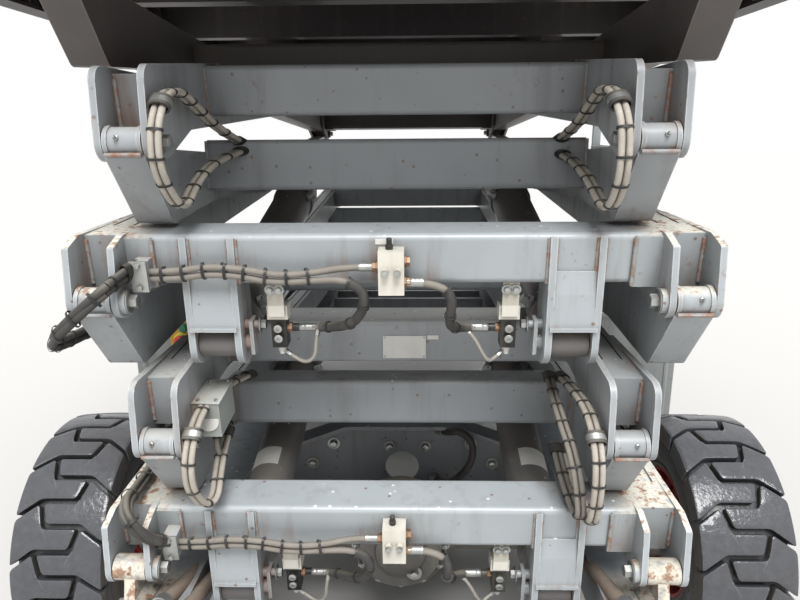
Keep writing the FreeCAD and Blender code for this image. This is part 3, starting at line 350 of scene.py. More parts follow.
def tyreFinish():
    # Black tyre rubber, wet on the tread and dusty brown on the sidewalls, with small cuts and stones' marks; its
    # ground colour is lightened as a painted wet sheen, its lug edges carry a painted highlight and its grooves a
    # painted shade
    material, tree, shader = newMaterial("tyreRubber", ior=1.52)
    masks = surfaceMasks(tree, 0.003)
    flank = addNode(tree, "ShaderNodeMath", {"operation": "ABSOLUTE"}, {0: masks["side"]}).outputs[0]
    dusty = masked(tree, masks["streak"], 0.35, 0.6, 0.7, masked(tree, flank, 0.55, 0.9, 1.0))
    mud = masked(tree, masks["patchy"], 0.5, 0.72, 0.35)
    # Painted highlight: lug edges lightened to #96989b for the wet rubber's bright edge reflections
    edge = masked(tree, masks["edge"], 0.1, 0.9, 0.5)
    # Painted shade: grooves and corners found by the occlusion mask darkened nearly to black
    corner = masked(tree, masks["closed"], 0.0, 0.9, 0.75)
    # Ground lighter than black rubber: partly dusty rubber grey, partly a painted sheen that stands for the wet
    # tread's reflection
    skin = layered(tree, masks["spots"], "#38383b", "#57585c",
                   [(dusty, "#5d5549"), (mud, "#4b4741"), (corner, "#0d0d0d"), (edge, "#96989b")])
    return completed(material, tree, shader, masks, skin, [(dusty, 0.45), (mud, 0.35), (corner, 0.3)], 0.24,
                     (75.0, 0.004, 0.45))


def valveFinish(name, pinHeight):
    # Manifold and bracket in dusty pale zinc, valve heads pale, their coils black; told apart by place; hollows
    # darkened by painted shade
    material, tree, shader = newMaterial(name, metallic=0.15)
    masks = surfaceMasks(tree, 0.002)
    place = addNode(tree, "ShaderNodeSeparateXYZ", None, {0: masks["at"]})
    across = addNode(tree, "ShaderNodeMath", {"operation": "ABSOLUTE"}, {0: place.outputs[0]}).outputs[0]
    beyond = masked(tree, across, 0.1, 0.101, 1.0)
    coil = masked(tree, place.outputs[2], pinHeight - 0.0625, pinHeight - 0.0635, 1.0, beyond)
    bracket = masked(tree, place.outputs[2], pinHeight - 0.0285, pinHeight - 0.0275, 0.55, beyond)
    dirt = masked(tree, masks["streak"], 0.45, 0.7, 0.35)
    # Painted shade: hollows found by the occlusion mask darkened towards #4b463d
    corner = masked(tree, masks["closed"], 0.1, 1.0, 0.5)
    skin = layered(tree, masks["patchy"], "#cdc8bb", "#e4e0d5",
                   [(bracket, "#a09a8a"), (coil, "#1d1d1f"), (dirt, "#8d8778"), (corner, "#4b463d")])
    return completed(material, tree, shader, masks, skin, [(dirt, 0.2)], 0.42, (260.0, 0.0004, 0.2))


deckPlate = treadPlateFinish()
tyreRubber = tyreFinish()
finishOf = {
    "outer_arms_4": shadedPaint, "platform_frame": platformShadePaint, "platform_deck": deckPlate,
    "extension_deck": deckPlate,
    "chassis_frame": chassisPaint, "tie_down_lugs": chassisPaint, "ladder": framePaint,
    "left_cabinet": cabinetPaint, "right_cabinet": cabinetPaint, "left_door": cabinetPaint,
    "right_door": cabinetPaint, "engine_block": engineIron, "ground_panel": panelPaint,
    "near_axle": axleIron, "far_axle": axleIron, "knuckle_left": axleIron, "knuckle_right": axleIron,
    "tie_rod": axleIron, "platform_rails": railPaint, "gate": railPaint, "extension_rails": railPaint,
    "control_box": controlPlastic, "base_rollers": rollerNylon, "platform_rollers": rollerNylon,
    "lower_valves": valveFinish("lowerValveFinish", 0.715), "upper_valves": valveFinish("upperValveFinish", 1.365),
    "lower_hoses": rubberCover, "upper_hoses": rubberCover, "sensor_box": caseEnamel,
}
families = {"outer_arms": armPaint, "inner_arms": innerPaint, "tyre": tyreRubber, "rim": rimPaint,
            "barrels": cylinderPaint, "rods": rodChrome}
for name in nodes:
    finish = finishOf.get(name) or next(finish for word, finish in families.items() if word in name)
    mesh = nodes[name].data
    mesh.materials.clear()
    mesh.materials.append(finish)
print("nodes finished")


# Making pieces
def addPiece(name, bm, materials, body, sharp=34.0):
    # A mesh in place, smooth between its sharp edges; body is None for a piece that spans two bodies and rides on
    # neither
    for face in bm.faces:
        face.smooth = True
    for edge in bm.edges:
        edge.smooth = edge.is_manifold and edge.calc_face_angle(0.0) < math.radians(sharp)
    mesh = bpy.data.meshes.new(name)
    bm.to_mesh(mesh)
    bm.free()
    for material in materials:
        mesh.materials.append(material)
    piece = bpy.data.objects.new(name, mesh)
    bpy.context.scene.collection.objects.link(piece)
    if body:
        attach(piece, body)
    return piece


def joinInto(bm, part, place=None, index=0):
    # Lays a finished part into a piece and gives it one of the piece's materials
    bmesh.ops.recalc_face_normals(part, faces=part.faces[:])
    if place is not None:
        bmesh.ops.transform(part, matrix=place, verts=part.verts[:])
        if place.determinant() < 0:
            bmesh.ops.reverse_faces(part, faces=part.faces[:])
    for face in part.faces:
        face.material_index = index
    carrier = bpy.data.meshes.new("carrier")
    part.to_mesh(carrier)
    part.free()
    bm.from_mesh(carrier)
    bpy.data.meshes.remove(carrier)


def facing(at, direction, side=None):
    # Local z turned to a direction, at a place
    z = Vector(direction).normalized()
    x = Vector(side) if side else (Vector((1, 0, 0)) if abs(z.x) < 0.9 else Vector((0, 1, 0)))
    y = z.cross(x).normalized()
    x = y.cross(z)
    turn = Matrix((x, y, z)).transposed().to_4x4()
    turn.translation = Vector(at)
    return turn


def block(size, soft=0.002, segments=2):
    part = bmesh.new()
    bmesh.ops.create_cube(part, size=1.0)
    bmesh.ops.scale(part, vec=size, verts=part.verts[:])
    if soft:
        bmesh.ops.bevel(part, geom=part.edges[:], offset=soft, offset_type="OFFSET", affect="EDGES",
                        segments=segments, profile=0.5, material=-1)
    return part


def turned(profile, steps=24):
    # A line of (height, radius) points spun about z
    part = bmesh.new()
    verts = [part.verts.new((radius, 0.0, height)) for height, radius in profile]
    edges = [part.edges.new(ends) for ends in zip(verts, verts[1:])]
    bmesh.ops.spin(part, geom=verts + edges, cent=(0, 0, 0), axis=(0, 0, 1), dvec=(0, 0, 0),
                   angle=2 * math.pi, steps=steps, use_merge=True)
    bmesh.ops.remove_doubles(part, verts=part.verts[:], dist=0.00001)
    return part


def addBolt(bm, at, direction, across=0.019, index=0, washer=True):
    # Hexagon head on its washer
    rise = 0.0
    place = facing(at, direction)
    if washer:
        joinInto(bm, turned([(0, 0), (0, across * 0.95), (0.0015, across), (0.003, across * 0.95), (0.003, 0)], 20),
                 place, index)
        rise = 0.003
    head = bmesh.new()
    height = across * 0.62
    bmesh.ops.create_cone(head, cap_ends=True, segments=6, radius1=across / 1.732, radius2=across / 1.732,
                          depth=height)
    top = [edge for edge in head.edges if all(vert.co.z > 0 for vert in edge.verts)]
    bmesh.ops.bevel(head, geom=top, offset=across * 0.07, offset_type="OFFSET", affect="EDGES", segments=2,
                    profile=0.5, material=-1)
    bmesh.ops.translate(head, vec=(0, 0, rise + height / 2), verts=head.verts[:])
    joinInto(bm, head, place, index)


def newCurve(points, radius, rings=5):
    # Smooth line through a hose's route; points are its control points
    line = bpy.data.curves.new("route", "CURVE")
    line.dimensions = "3D"
    line.bevel_depth = radius
    line.bevel_resolution = rings
    line.resolution_u = 10
    line.use_fill_caps = radius > 0
    spline = line.splines.new("NURBS")
    spline.points.add(len(points) - 1)
    for point, place in zip(spline.points, points):
        point.co = (*place, 1.0)
    spline.order_u = 3
    spline.use_endpoint_u = True
    return line


def curvePart(points, radius, rings=5):
    # The route's tube as a mesh, or with no radius its middle line
    line = newCurve(points, radius, rings)
    holder = bpy.data.objects.new("route", line)
    mesh = bpy.data.meshes.new_from_object(holder)
    part = bmesh.new()
    part.from_mesh(mesh)
    bmesh.ops.remove_doubles(part, verts=part.verts[:], dist=0.00001)
    bpy.data.objects.remove(holder)
    bpy.data.curves.remove(line)
    bpy.data.meshes.remove(mesh)
    return part


def alongRoute(points, shares):
    # Places and directions at shares of a route's length
    middle = curvePart(points, 0.0)
    spots = [vert.co.copy() for vert in middle.verts]
    middle.free()
    lengths = [0.0]
    for a, b in zip(spots, spots[1:]):
        lengths.append(lengths[-1] + (b - a).length)
    found = []
    for share in shares:
        goal = share * lengths[-1]
        step = max(i for i, reach in enumerate(lengths[:-1]) if reach <= goal)
        a, b = spots[step], spots[step + 1]
        found.append((a.lerp(b, (goal - lengths[step]) / max((b - a).length, 1e-6)), (b - a).normalized()))
    return found


def band(bm, at, direction, side, reach, wide, index, thick=0.0016):
    # A strap round one or two hoses; reach is its half size along side and across
    ring = bmesh.new()
    bmesh.ops.create_cone(ring, cap_ends=False, segments=20, radius1=1.0, radius2=1.0, depth=wide)
    bmesh.ops.scale(ring, vec=(reach[0], reach[1], 1.0), verts=ring.verts[:])
    bmesh.ops.recalc_face_normals(ring, faces=ring.faces[:])
    bmesh.ops.solidify(ring, geom=ring.faces[:], thickness=-thick)
    joinInto(bm, ring, facing(at, direction, side), index)


def shifted(points, vector):
    return [tuple(a + b for a, b in zip(point, vector)) for point in points]


def inMetres(points):
    return [tuple(value / 1000 for value in point) for point in points]


# The stowed arms: their own (x, s, t) frame laid in the machine, s from the low pin to the high pin
stack = {"pitch": 3.4, "rise": 0.325, "pinHeight": 0.715, "pinY": -1.83, "outerX": 0.578, "innerX": 0.477,
         "armWidth": 0.08, "forkPlate": 0.014, "innerBack": 0.36}
stack["lean"] = math.asin(stack["rise"] / stack["pitch"])
stack["farY"] = stack["pinY"] + stack["pitch"] * math.cos(stack["lean"])


def armPlace(family, level):
    height = stack["pinHeight"] + (level - 1) * stack["rise"]
    if (level % 2 == 1) == (family == "outer"):
        return Matrix.Translation((0, stack["pinY"], height)) @ Matrix.Rotation(stack["lean"], 4, "X")
    return (Matrix.Translation((0, stack["farY"], height)) @ Matrix.Rotation(-stack["lean"], 4, "X")
            @ Matrix.Scale(-1, 4, (0, 1, 0)))


# Tyres: two rows of interlocking lugs that cover the tread but for narrow grooves
tyre = {"radius": 0.3875, "halfWidth": 0.1325, "lugs": 17, "lugHeight": 0.024,
        "crown": 0.006, "soft": 0.005, "carcass": 0.3635,
        "outline": [(-134, 6), (-66, 56), (36, 56), (54, 113), (-46, 113), (-52, 128), (-68, 184), (-134, 137)],
        "groove": 0.0035, "corner": 0.009,
        "profile": [(0.0965, 0.2097), (0.1065, 0.2130), (0.1120, 0.2240), (0.1085, 0.2310), (0.1215, 0.2470),
                    (0.1310, 0.2760), (0.1322, 0.2980), (0.1300, 0.3180), (0.1265, 0.3330), (0.1290, 0.3390),
                    (0.1250, 0.3480), (0.1100, 0.3590), (0.0500, 0.3635)]}


def tyreShape():
    bm = bmesh.new()
    carcass = bmesh.new()
    line = tyre["profile"] + [(-x, r) for x, r in reversed(tyre["profile"])]
    verts = [carcass.verts.new((x, 0.0, r)) for x, r in line]
    edges = [carcass.edges.new(ends) for ends in zip(verts, verts[1:] + verts[:1])]
    bmesh.ops.spin(carcass, geom=verts + edges, cent=(0, 0, 0), axis=(1, 0, 0), dvec=(0, 0, 0),
                   angle=2 * math.pi, steps=96, use_merge=True)
    joinInto(bm, carcass)
    girth = tyre["radius"]
    step = 2 * math.pi / tyre["lugs"]
    for side, offset in ((1, 0.0), (-1, -0.5)):
        lug = bmesh.new()
        corners = [lug.verts.new((side * x / 1000, u / 1000, 0.0)) for x, u in tyre["outline"]]
        face = lug.faces.new(corners)
        border = bmesh.ops.inset_region(lug, faces=[face], thickness=tyre["groove"], use_even_offset=True)["faces"]
        bmesh.ops.delete(lug, geom=border, context="FACES")
        bmesh.ops.bevel(lug, geom=lug.verts[:], offset=tyre["corner"], offset_type="OFFSET", affect="VERTICES",
                        segments=3, profile=0.5, material=-1)
        made = bmesh.ops.extrude_face_region(lug, geom=lug.faces[:])
        top = [item for item in made["geom"] if isinstance(item, bmesh.types.BMVert)]
        bmesh.ops.translate(lug, vec=(0, 0, 1.0), verts=top)
        bmesh.ops.recalc_face_normals(lug, faces=lug.faces[:])
        # The lug's root lies inside the carcass
        for vert in lug.verts:
            vert.co.z = -0.012 if vert.co.z < 0.5 else tyre["lugHeight"]
        rim = [edge for edge in lug.edges if all(vert.co.z > 0.02 for vert in edge.verts)]
        bmesh.ops.bevel(lug, geom=rim, offset=tyre["soft"], offset_type="OFFSET", affect="EDGES", segments=2,
                        profile=0.5, material=-1)
        for i in range(1, 11):
            bmesh.ops.bisect_plane(lug, geom=lug.verts[:] + lug.edges[:] + lug.faces[:], dist=0.00001,
                                   plane_co=(0, i * 0.0173, 0), plane_no=(0, 1, 0))
        for i in range(-4, 5):
            bmesh.ops.bisect_plane(lug, geom=lug.verts[:] + lug.edges[:] + lug.faces[:], dist=0.00001,
                                   plane_co=(i * 0.03, 0, 0), plane_no=(1, 0, 0))
        for vert in lug.verts:
            x, u, rise = vert.co
            radius = tyre["carcass"] + rise - tyre["crown"] * (x / tyre["halfWidth"]) ** 2
            if abs(x) > 0.125 and rise < 0:
                radius -= 0.016
            turn = u / girth + offset * step
            vert.co = (x, -radius * math.sin(turn), -radius * math.cos(turn))
        bmesh.ops.spin(lug, geom=lug.verts[:] + lug.edges[:] + lug.faces[:], cent=(0, 0, 0), axis=(1, 0, 0),
                       dvec=(0, 0, 0), angle=2 * math.pi * (tyre["lugs"] - 1) / tyre["lugs"],
                       steps=tyre["lugs"] - 1, use_duplicate=True)
        joinInto(bm, lug)
    return bm


def wheelPieces():
    spare = bpy.data.meshes.new("tyreShape")
    shape = tyreShape()
    shape.to_mesh(spare)
    shape.free()
    for end, y in (("near", -1.19), ("far", 1.19)):
        for side, x in (("left", -0.9925), ("right", 0.9925)):
            place = Matrix.Translation((x, y, tyre["radius"]))
            body = "wheel_" + end + "_" + side
            bm = bmesh.new()
            bm.from_mesh(spare)
            bmesh.ops.transform(bm, matrix=place, verts=bm.verts[:])
            piece = addPiece("tyreTread_" + end + "_" + side, bm, [tyreRubber], body, 40.0)
            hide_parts("tyre_" + end + "_" + side)
            # Wheel nuts, valve stem and hub cap on the outside
            out = -1 if side == "left" else 1
            bm = bmesh.new()
            for i in range(8):
                turn = (i + 0.5) * math.pi / 4
                spot = (x + out * 0.052, y + 0.082 * math.sin(turn), tyre["radius"] + 0.082 * math.cos(turn))
                addBolt(bm, spot, (out, 0, 0), 0.024)
            stem = turned([(0, 0), (0, 0.006), (0.03, 0.005), (0.03, 0.004), (0.042, 0.004), (0.042, 0)], 12)
            joinInto(bm, stem, facing((x + out * 0.03, y, tyre["radius"] + 0.165), (out, 0, 0.2)), 1)
            joinInto(bm, turned([(0, 0.058), (0.012, 0.058), (0.02, 0.05), (0.024, 0.03), (0.024, 0)], 32),
                     facing((x + out * 0.092, y, tyre["radius"]), (out, 0, 0)), 2)
            addPiece("wheelNuts_" + end + "_" + side, bm, [zincSteel, tiePlastic, rimPaint], body)
    bpy.data.meshes.remove(spare)


wheelPieces()
print("wheels made")


# Hoses held on the outer frames: the routes of the CAD hoses, clamp to manifold, clamp to valve, manifold to valve
heldHose = {"radius": {"supply": 0.0072, "left": 0.0072, "right": 0.0082}, "levels": {"lower": 1, "upper": 3},
            "supply": [(-507.7, 18, 60), (-450, 18, 60), (-385, 13, 72), (-310, 13, 67), (-240, 13, 52),
                       (-165, 14, 57), (-95, 27, 66), (-27.3, 27, 66)],
            "left": [(-507.7, 18, 44), (-450, 18, 44), (-385, 13, 56), (-315, 13, 51), (-245, 13, 36),
                     (-165, 13, 41), (-100, 12, 44), (-54, 12, 18), (-62, 14, -34), (-98, 50, -78),
                     (-160, 94, -98), (-214.8, 94, -98)],
            "wrap": {"left": (0.60, 0.93), "right": (0.30, 0.86)}, "wrapRadius": 0.0108,
            "right": [(27.3, 27, 32), (82, 27, 32), (130, 14, 10), (124, 16, -40), (126, 50, -82),
                      (160, 94, -98), (214.8, 94, -98)],
            "thin": [[(-172, 88, -104), (-176, 78, -124), (-178, 72, -160), (-196, 72, -176), (-220, 84, -176),
                      (-247, 94, -160)],
                     [(166, 88, -102), (184, 78, -118), (200, 72, -150), (214, 72, -172), (228, 84, -174),
                      (247, 94, -160)]]}


def crimpedEnd(bm, at, direction, radius, indexShell=0, indexNut=1):
    # Ferrule crimped over a hose's end, then a union nut; direction points towards the port
    r = radius
    shell = [(-0.040, r), (-0.040, r * 1.22), (-0.034, r * 1.3), (-0.030, r * 1.18), (-0.026, r * 1.3),
             (-0.022, r * 1.18), (-0.018, r * 1.3), (-0.012, r * 1.22), (-0.008, r * 0.9), (-0.008, 0)]
    joinInto(bm, turned(shell, 20), facing(at, direction), indexShell)
    nut = bmesh.new()
    bmesh.ops.create_cone(nut, cap_ends=True, segments=6, radius1=r * 1.35, radius2=r * 1.35, depth=0.014)
    bmesh.ops.bevel(nut, geom=nut.edges[:], offset=0.001, offset_type="OFFSET", affect="EDGES", segments=1,
                    profile=0.5, material=-1)
    bmesh.ops.translate(nut, vec=(0, 0, -0.007), verts=nut.verts[:])
    joinInto(bm, nut, facing(at, direction), indexNut)


def heldHoses():
    for where, level in heldHose["levels"].items():
        place = armPlace("outer", level)
        body = "outer_" + str(level)
        bm = bmesh.new()
        for name in ("supply", "left", "right"):
            radius = heldHose["radius"][name]
            route = [place @ Vector(point) for point in inMetres(heldHose[name])]
            joinInto(bm, curvePart(route, radius), None, 0)
            if name in heldHose["wrap"]:
                # Tape wound over the hose where it hangs free
                low, high = heldHose["wrap"][name]
                wound = [spot for spot, _ in alongRoute(route, [low + (high - low) * i / 12 for i in range(13)])]
                joinInto(bm, curvePart(wound, heldHose["wrapRadius"]), None, 4)
            ends = alongRoute(route, (0.0, 0.999))
            if name == "right":
                crimpedEnd(bm, ends[0][0], -ends[0][1], radius, 1, 2)
            crimpedEnd(bm, ends[1][0], ends[1][1], radius, 1, 2)
        # Ties round the pair that runs side by side, then round the single hoses
        radius = heldHose["radius"]["supply"]
        upper = [place @ Vector(point) for point in inMetres(heldHose["supply"])]
        lower = [place @ Vector(point) for point in inMetres(heldHose["left"])]
        for share in (0.06, 0.15, 0.24, 0.33, 0.42, 0.51, 0.60, 0.69):
            (a, way), = alongRoute(upper, (share,))
            x = a.x
            b = min((spot for spot, _ in alongRoute(lower, [i / 60 for i in range(1, 40)])),
                    key=lambda spot: abs(spot.x - x))
            middle = (a + b) / 2
            gap = (a - b).length / 2
            band(bm, middle, way, (a - b).normalized(), (gap + radius + 0.001, radius + 0.0015), 0.006, 3)
            joinInto(bm, block((0.007, 0.006, 0.006), 0.001),
                     facing(a + (a - b).normalized() * (radius + 0.002), way), 3)
        for route, shares in ((lower, (0.60, 0.70, 0.80, 0.9)),
                              ([place @ Vector(point) for point in inMetres(heldHose["right"])], (0.3, 0.5, 0.72))):
            for spot, way in alongRoute(route, shares):
                reach = heldHose["wrapRadius"] + 0.001
                band(bm, spot, way, (1, 0, 0), (reach, reach), 0.006, 3)
        for points in heldHose["thin"]:
            route = [place @ Vector(point) for point in inMetres(points)]
            joinInto(bm, curvePart(route, 0.0046, 4), None, 6)
            for spot, way in alongRoute(route, (0.02, 0.98)):
                joinInto(bm, turned([(-0.009, 0), (-0.009, 0.0062), (0.009, 0.0062), (0.009, 0)], 6),
                         facing(spot, way), 1)
        piece = addPiece(where + "HoseSet", bm, [greySleeve, zincSteel, zincSteel, tiePlastic, rubberCover,
                                                 brassFitting, paleSleeve], body)
        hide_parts(where + "_hoses")


heldHoses()


# Loops over the near joints: one part on each arm and a curved part between them that rides on neither
loops = {
    "topLeft": {"upper": "inner_4", "lower": "inner_3", "pin": 1.690, "sleeve": "pale",
                "held": [(-385, -1440, 1676), (-425, -1530, 1712), (-438, -1680, 1776), (-436, -1770, 1793),
                         (-437, -1845, 1776), (-439, -1872, 1738)],
                "bend": [(-439, -1872, 1738), (-440, -1888, 1715), (-442, -1890, 1655), (-440, -1870, 1615),
                         (-437, -1848, 1590)],
                "back": [(-437, -1848, 1590), (-434, -1829, 1569), (-434, -1780, 1558), (-438, -1700, 1596),
                         (-428, -1610, 1635), (-396, -1490, 1660), (-380, -1450, 1664)]},
    "topRight": {"upper": "inner_4", "lower": "inner_3", "pin": 1.690, "sleeve": "pale",
                 "held": [(410, -1440, 1680), (428, -1540, 1710), (433, -1660, 1762), (428, -1765, 1792),
                          (433, -1845, 1774), (437, -1873, 1736)],
                 "bend": [(437, -1873, 1736), (439, -1888, 1715), (441, -1892, 1650), (441, -1880, 1605),
                          (440, -1862, 1582)],
                 "back": [(440, -1862, 1582), (439, -1846, 1562), (438, -1790, 1552), (438, -1700, 1588),
                          (434, -1600, 1622), (425, -1490, 1646), (408, -1450, 1652)]},
    "midLeft": {"upper": "inner_2", "lower": "inner_1", "pin": 1.040, "sleeve": "pale",
                "held": [(-392, -1500, 1075), (-420, -1600, 1092), (-432, -1720, 1104), (-435, -1800, 1100),
                         (-437, -1848, 1078), (-439, -1872, 1048)],
                "bend": [(-439, -1872, 1048), (-440, -1886, 1030), (-442, -1890, 985), (-440, -1882, 945),
                         (-433, -1864, 915)],
                "back": [(-433, -1864, 915), (-428, -1850, 892), (-412, -1820, 892), (-418, -1770, 925),
                         (-426, -1700, 958), (-428, -1630, 980)]},
    "midRight": {"upper": "inner_2", "lower": "inner_1", "pin": 1.040, "sleeve": "pale",
                 "held": [(425, -1540, 1088), (436, -1640, 1094), (440, -1760, 1098), (439, -1840, 1082),
                          (439, -1872, 1048)],
                 "bend": [(439, -1872, 1048), (439, -1886, 1031), (441, -1890, 985), (442, -1884, 930),
                          (442, -1872, 890)],
                 "back": [(442, -1872, 890), (442, -1864, 864), (438, -1835, 852), (432, -1760, 880),
                          (430, -1690, 912), (430, -1630, 935)]},
    "midRightInner": {"upper": "inner_2", "lower": "inner_1", "pin": 1.040, "sleeve": "worn",
                      "held": [(398, -1540, 1092), (392, -1620, 1080), (392, -1700, 1058), (396, -1760, 1034)],
                      "bend": [(396, -1760, 1034), (400, -1800, 1018), (408, -1832, 975), (414, -1846, 930),
                               (417, -1852, 896)],
                      "back": [(417, -1852, 896), (419, -1856, 874), (416, -1830, 862), (408, -1760, 884),
                               (404, -1690, 915), (404, -1630, 938)]},
    "sideLeft": {"upper": "outer_3", "lower": "outer_2", "pin": 1.365, "sleeve": "dark",
                 "held": [(-536, -1812, 1436), (-550, -1842, 1426), (-570, -1890, 1404)],
                 "bend": [(-570, -1890, 1404), (-594, -1918, 1382), (-668, -1908, 1320), (-704, -1878, 1290),
                          (-718, -1840, 1274)],
                 "back": [(-718, -1840, 1274), (-732, -1800, 1260), (-726, -1720, 1256), (-704, -1640, 1262),
                          (-694, -1560, 1270)]},
}
loopMake = {"radius": {"pale": 0.0068, "worn": 0.0062, "dark": 0.0085}, "tieEvery": 0.062, "ringAt": 0.93}
sleeves = {"pale": nylonSleeve, "worn": greySleeve, "dark": rubberCover}


def loopPieces(name, loop):
    radius = loopMake["radius"][loop["sleeve"]]
    rides = {"held": loop["upper"], "back": loop["lower"], "bend": None}
    skins = [sleeves[loop["sleeve"]], tiePlastic, zincSteel, rubberCover]
    for part, body in rides.items():
        points = inMetres(loop[part])
        across = (1, 0, 0) if loop["sleeve"] != "dark" else (0.3, 0, 0.95)
        bm = bmesh.new()
        for way in (-1, 1):
            offset = tuple(way * radius * 1.06 * value for value in across)
            joinInto(bm, curvePart(shifted(points, offset), radius), None, 0)
        spots = alongRoute(points, (0.0, 0.999))
        length = sum((Vector(b) - Vector(a)).length for a, b in zip(points, points[1:]))
        count = max(2, round(length / loopMake["tieEvery"]))
        shares = [(i + 0.5) / count for i in range(count)]
        for spot, way in alongRoute(points, shares):
            band(bm, spot, way, across, (2 * radius + 0.002, radius + 0.0014), 0.005, 1, 0.0012)
        if part == "held":
            spot, way = alongRoute(points, (loopMake["ringAt"],))[0]
            if loop["sleeve"] == "pale":
                # Rubber-lined clip, bolted to the fork's inner plate
                band(bm, spot, way, across, (2 * radius + 0.007, radius + 0.007), 0.014, 2, 0.002)
                band(bm, spot - way * 0.010, way, across, (2 * radius + 0.005, radius + 0.005), 0.007, 3, 0.004)
                band(bm, spot + way * 0.010, way, across, (2 * radius + 0.005, radius + 0.005), 0.007, 3, 0.004)
            first = spots[0]
            band(bm, first[0] + first[1] * 0.02, first[1], across, (2 * radius + 0.003, radius + 0.003), 0.03, 1,
                 0.002)
        if part == "back":
            last = spots[1]
            band(bm, last[0] - last[1] * 0.02, last[1], across, (2 * radius + 0.003, radius + 0.003), 0.03, 1,
                 0.002)
        piece = addPiece(name + "Loop_" + part, bm, skins, body)
        if part == "bend":
            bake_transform(piece)


for name, loop in loops.items():
    loopPieces(name, loop)


# Bundle that climbs from the lowest tube and runs back along the top of the left arm
armLead = [(-520, -1812, 768), (-540, -1840, 782), (-566, -1872, 822), (-598, -1872, 866), (-618, -1830, 884),
           (-626, -1770, 872), (-628, -1700, 871), (-628, -1550, 885), (-628, -1300, 909), (-628, -1000, 938)]


def armLeadPiece():
    bm = bmesh.new()
    route = inMetres(armLead)
    for offset in ((0.0085, 0, 0), (-0.0085, 0, 0.001), (0.002, -0.001, 0.0135)):
        joinInto(bm, curvePart(shifted(route, offset), 0.008), None, 0)
    for spot, way in alongRoute(route, [0.04 + 0.09 * i for i in range(11)]):
        band(bm, spot + Vector((0, 0, 0.005)), way, (1, 0, 0), (0.0185, 0.0155), 0.006, 1)
    addPiece("armLead", bm, [rubberCover, tiePlastic], "outer_1")


armLeadPiece()
print("hoses made")


# Pin bolts, keeper bolts, grease nipples and welds of the arm frames
fastener = {"pinBolt": 0.026, "keeperBolt": 0.019, "weld": 0.0045}


def weldLine(bm, points, index=0):
    joinInto(bm, curvePart(points, fastener["weld"], 2), None, index)


def armDetails(family, level):
    place = armPlace(family, level)
    turn = place.to_3x3()
    width, plateThick = stack["armWidth"], stack["forkPlate"]
    xIn = stack["outerX"] if family == "outer" else stack["innerX"]
    bm = bmesh.new()
    for side in (-1, 1):
        # Bolt on the pin's head, inside the fork
        addBolt(bm, place @ Vector((side * (xIn - plateThick - 0.012), 0, 0)), (-side, 0, 0),
                fastener["pinBolt"], 0)
        # Weld under the high barrel, and grease nipple on it
        ends = [place @ Vector((side * (xIn + x), 3.4 + 0.027, -0.026)) for x in (0.004, 0.040, 0.076)]
        weldLine(bm, ends, 1)
        spot = place @ Vector((side * (xIn + 0.05), 3.4 + 0.029, 0.006))
        joinInto(bm, turned([(0, 0.005), (0.004, 0.005), (0.005, 0.0035), (0.010, 0.0035), (0.013, 0.002),
                             (0.013, 0)], 10), facing(spot, turn @ Vector((0, 1, 0.1))), 0)
        if family == "inner":
            # Side plate to cross tube, low end and high end
            x = side * (xIn - plateThick)
            weldLine(bm, [place @ Vector((x, 0.359, t)) for t in (0.025, 0.080, 0.137)], 1)
            x = side * xIn
            weldLine(bm, [place @ Vector((x, 3.041, t)) for t in (-0.086, -0.03, 0.031)], 1)
        else:
            x = side * (xIn - plateThick - 0.056)
            weldLine(bm, [place @ Vector((x, 0.045, t)) for t in (0.018, 0.07, 0.122)], 1)
        # Root of the fork between its plates
        for x in (xIn + 0.003, xIn + width - 0.003):
            weldLine(bm, [place @ Vector((side * x, 0.063, t)) for t in (0.02, 0.07, 0.118)], 1)
        if family == "outer" and level in (1, 3):
            addBolt(bm, place @ Vector((side * 0.2995, 0.075, -0.083)), (-side, 0, 0), fastener["keeperBolt"], 0)
            for x in (0.339 - 0.0085, 0.339 + 0.0085, 0.441 - 0.0085, 0.441 + 0.0085):
                weldLine(bm, [place @ Vector((side * x, 0.0495, t)) for t in (0.022, 0.07, 0.120)], 1)
    addPiece(family + "ArmDetails_" + str(level), bm, [zincSteel, weldBead], family + "_" + str(level), 30.0)


for family in ("outer", "inner"):
    for level in (1, 2, 3, 4):
        armDetails(family, level)
print("arm details made")


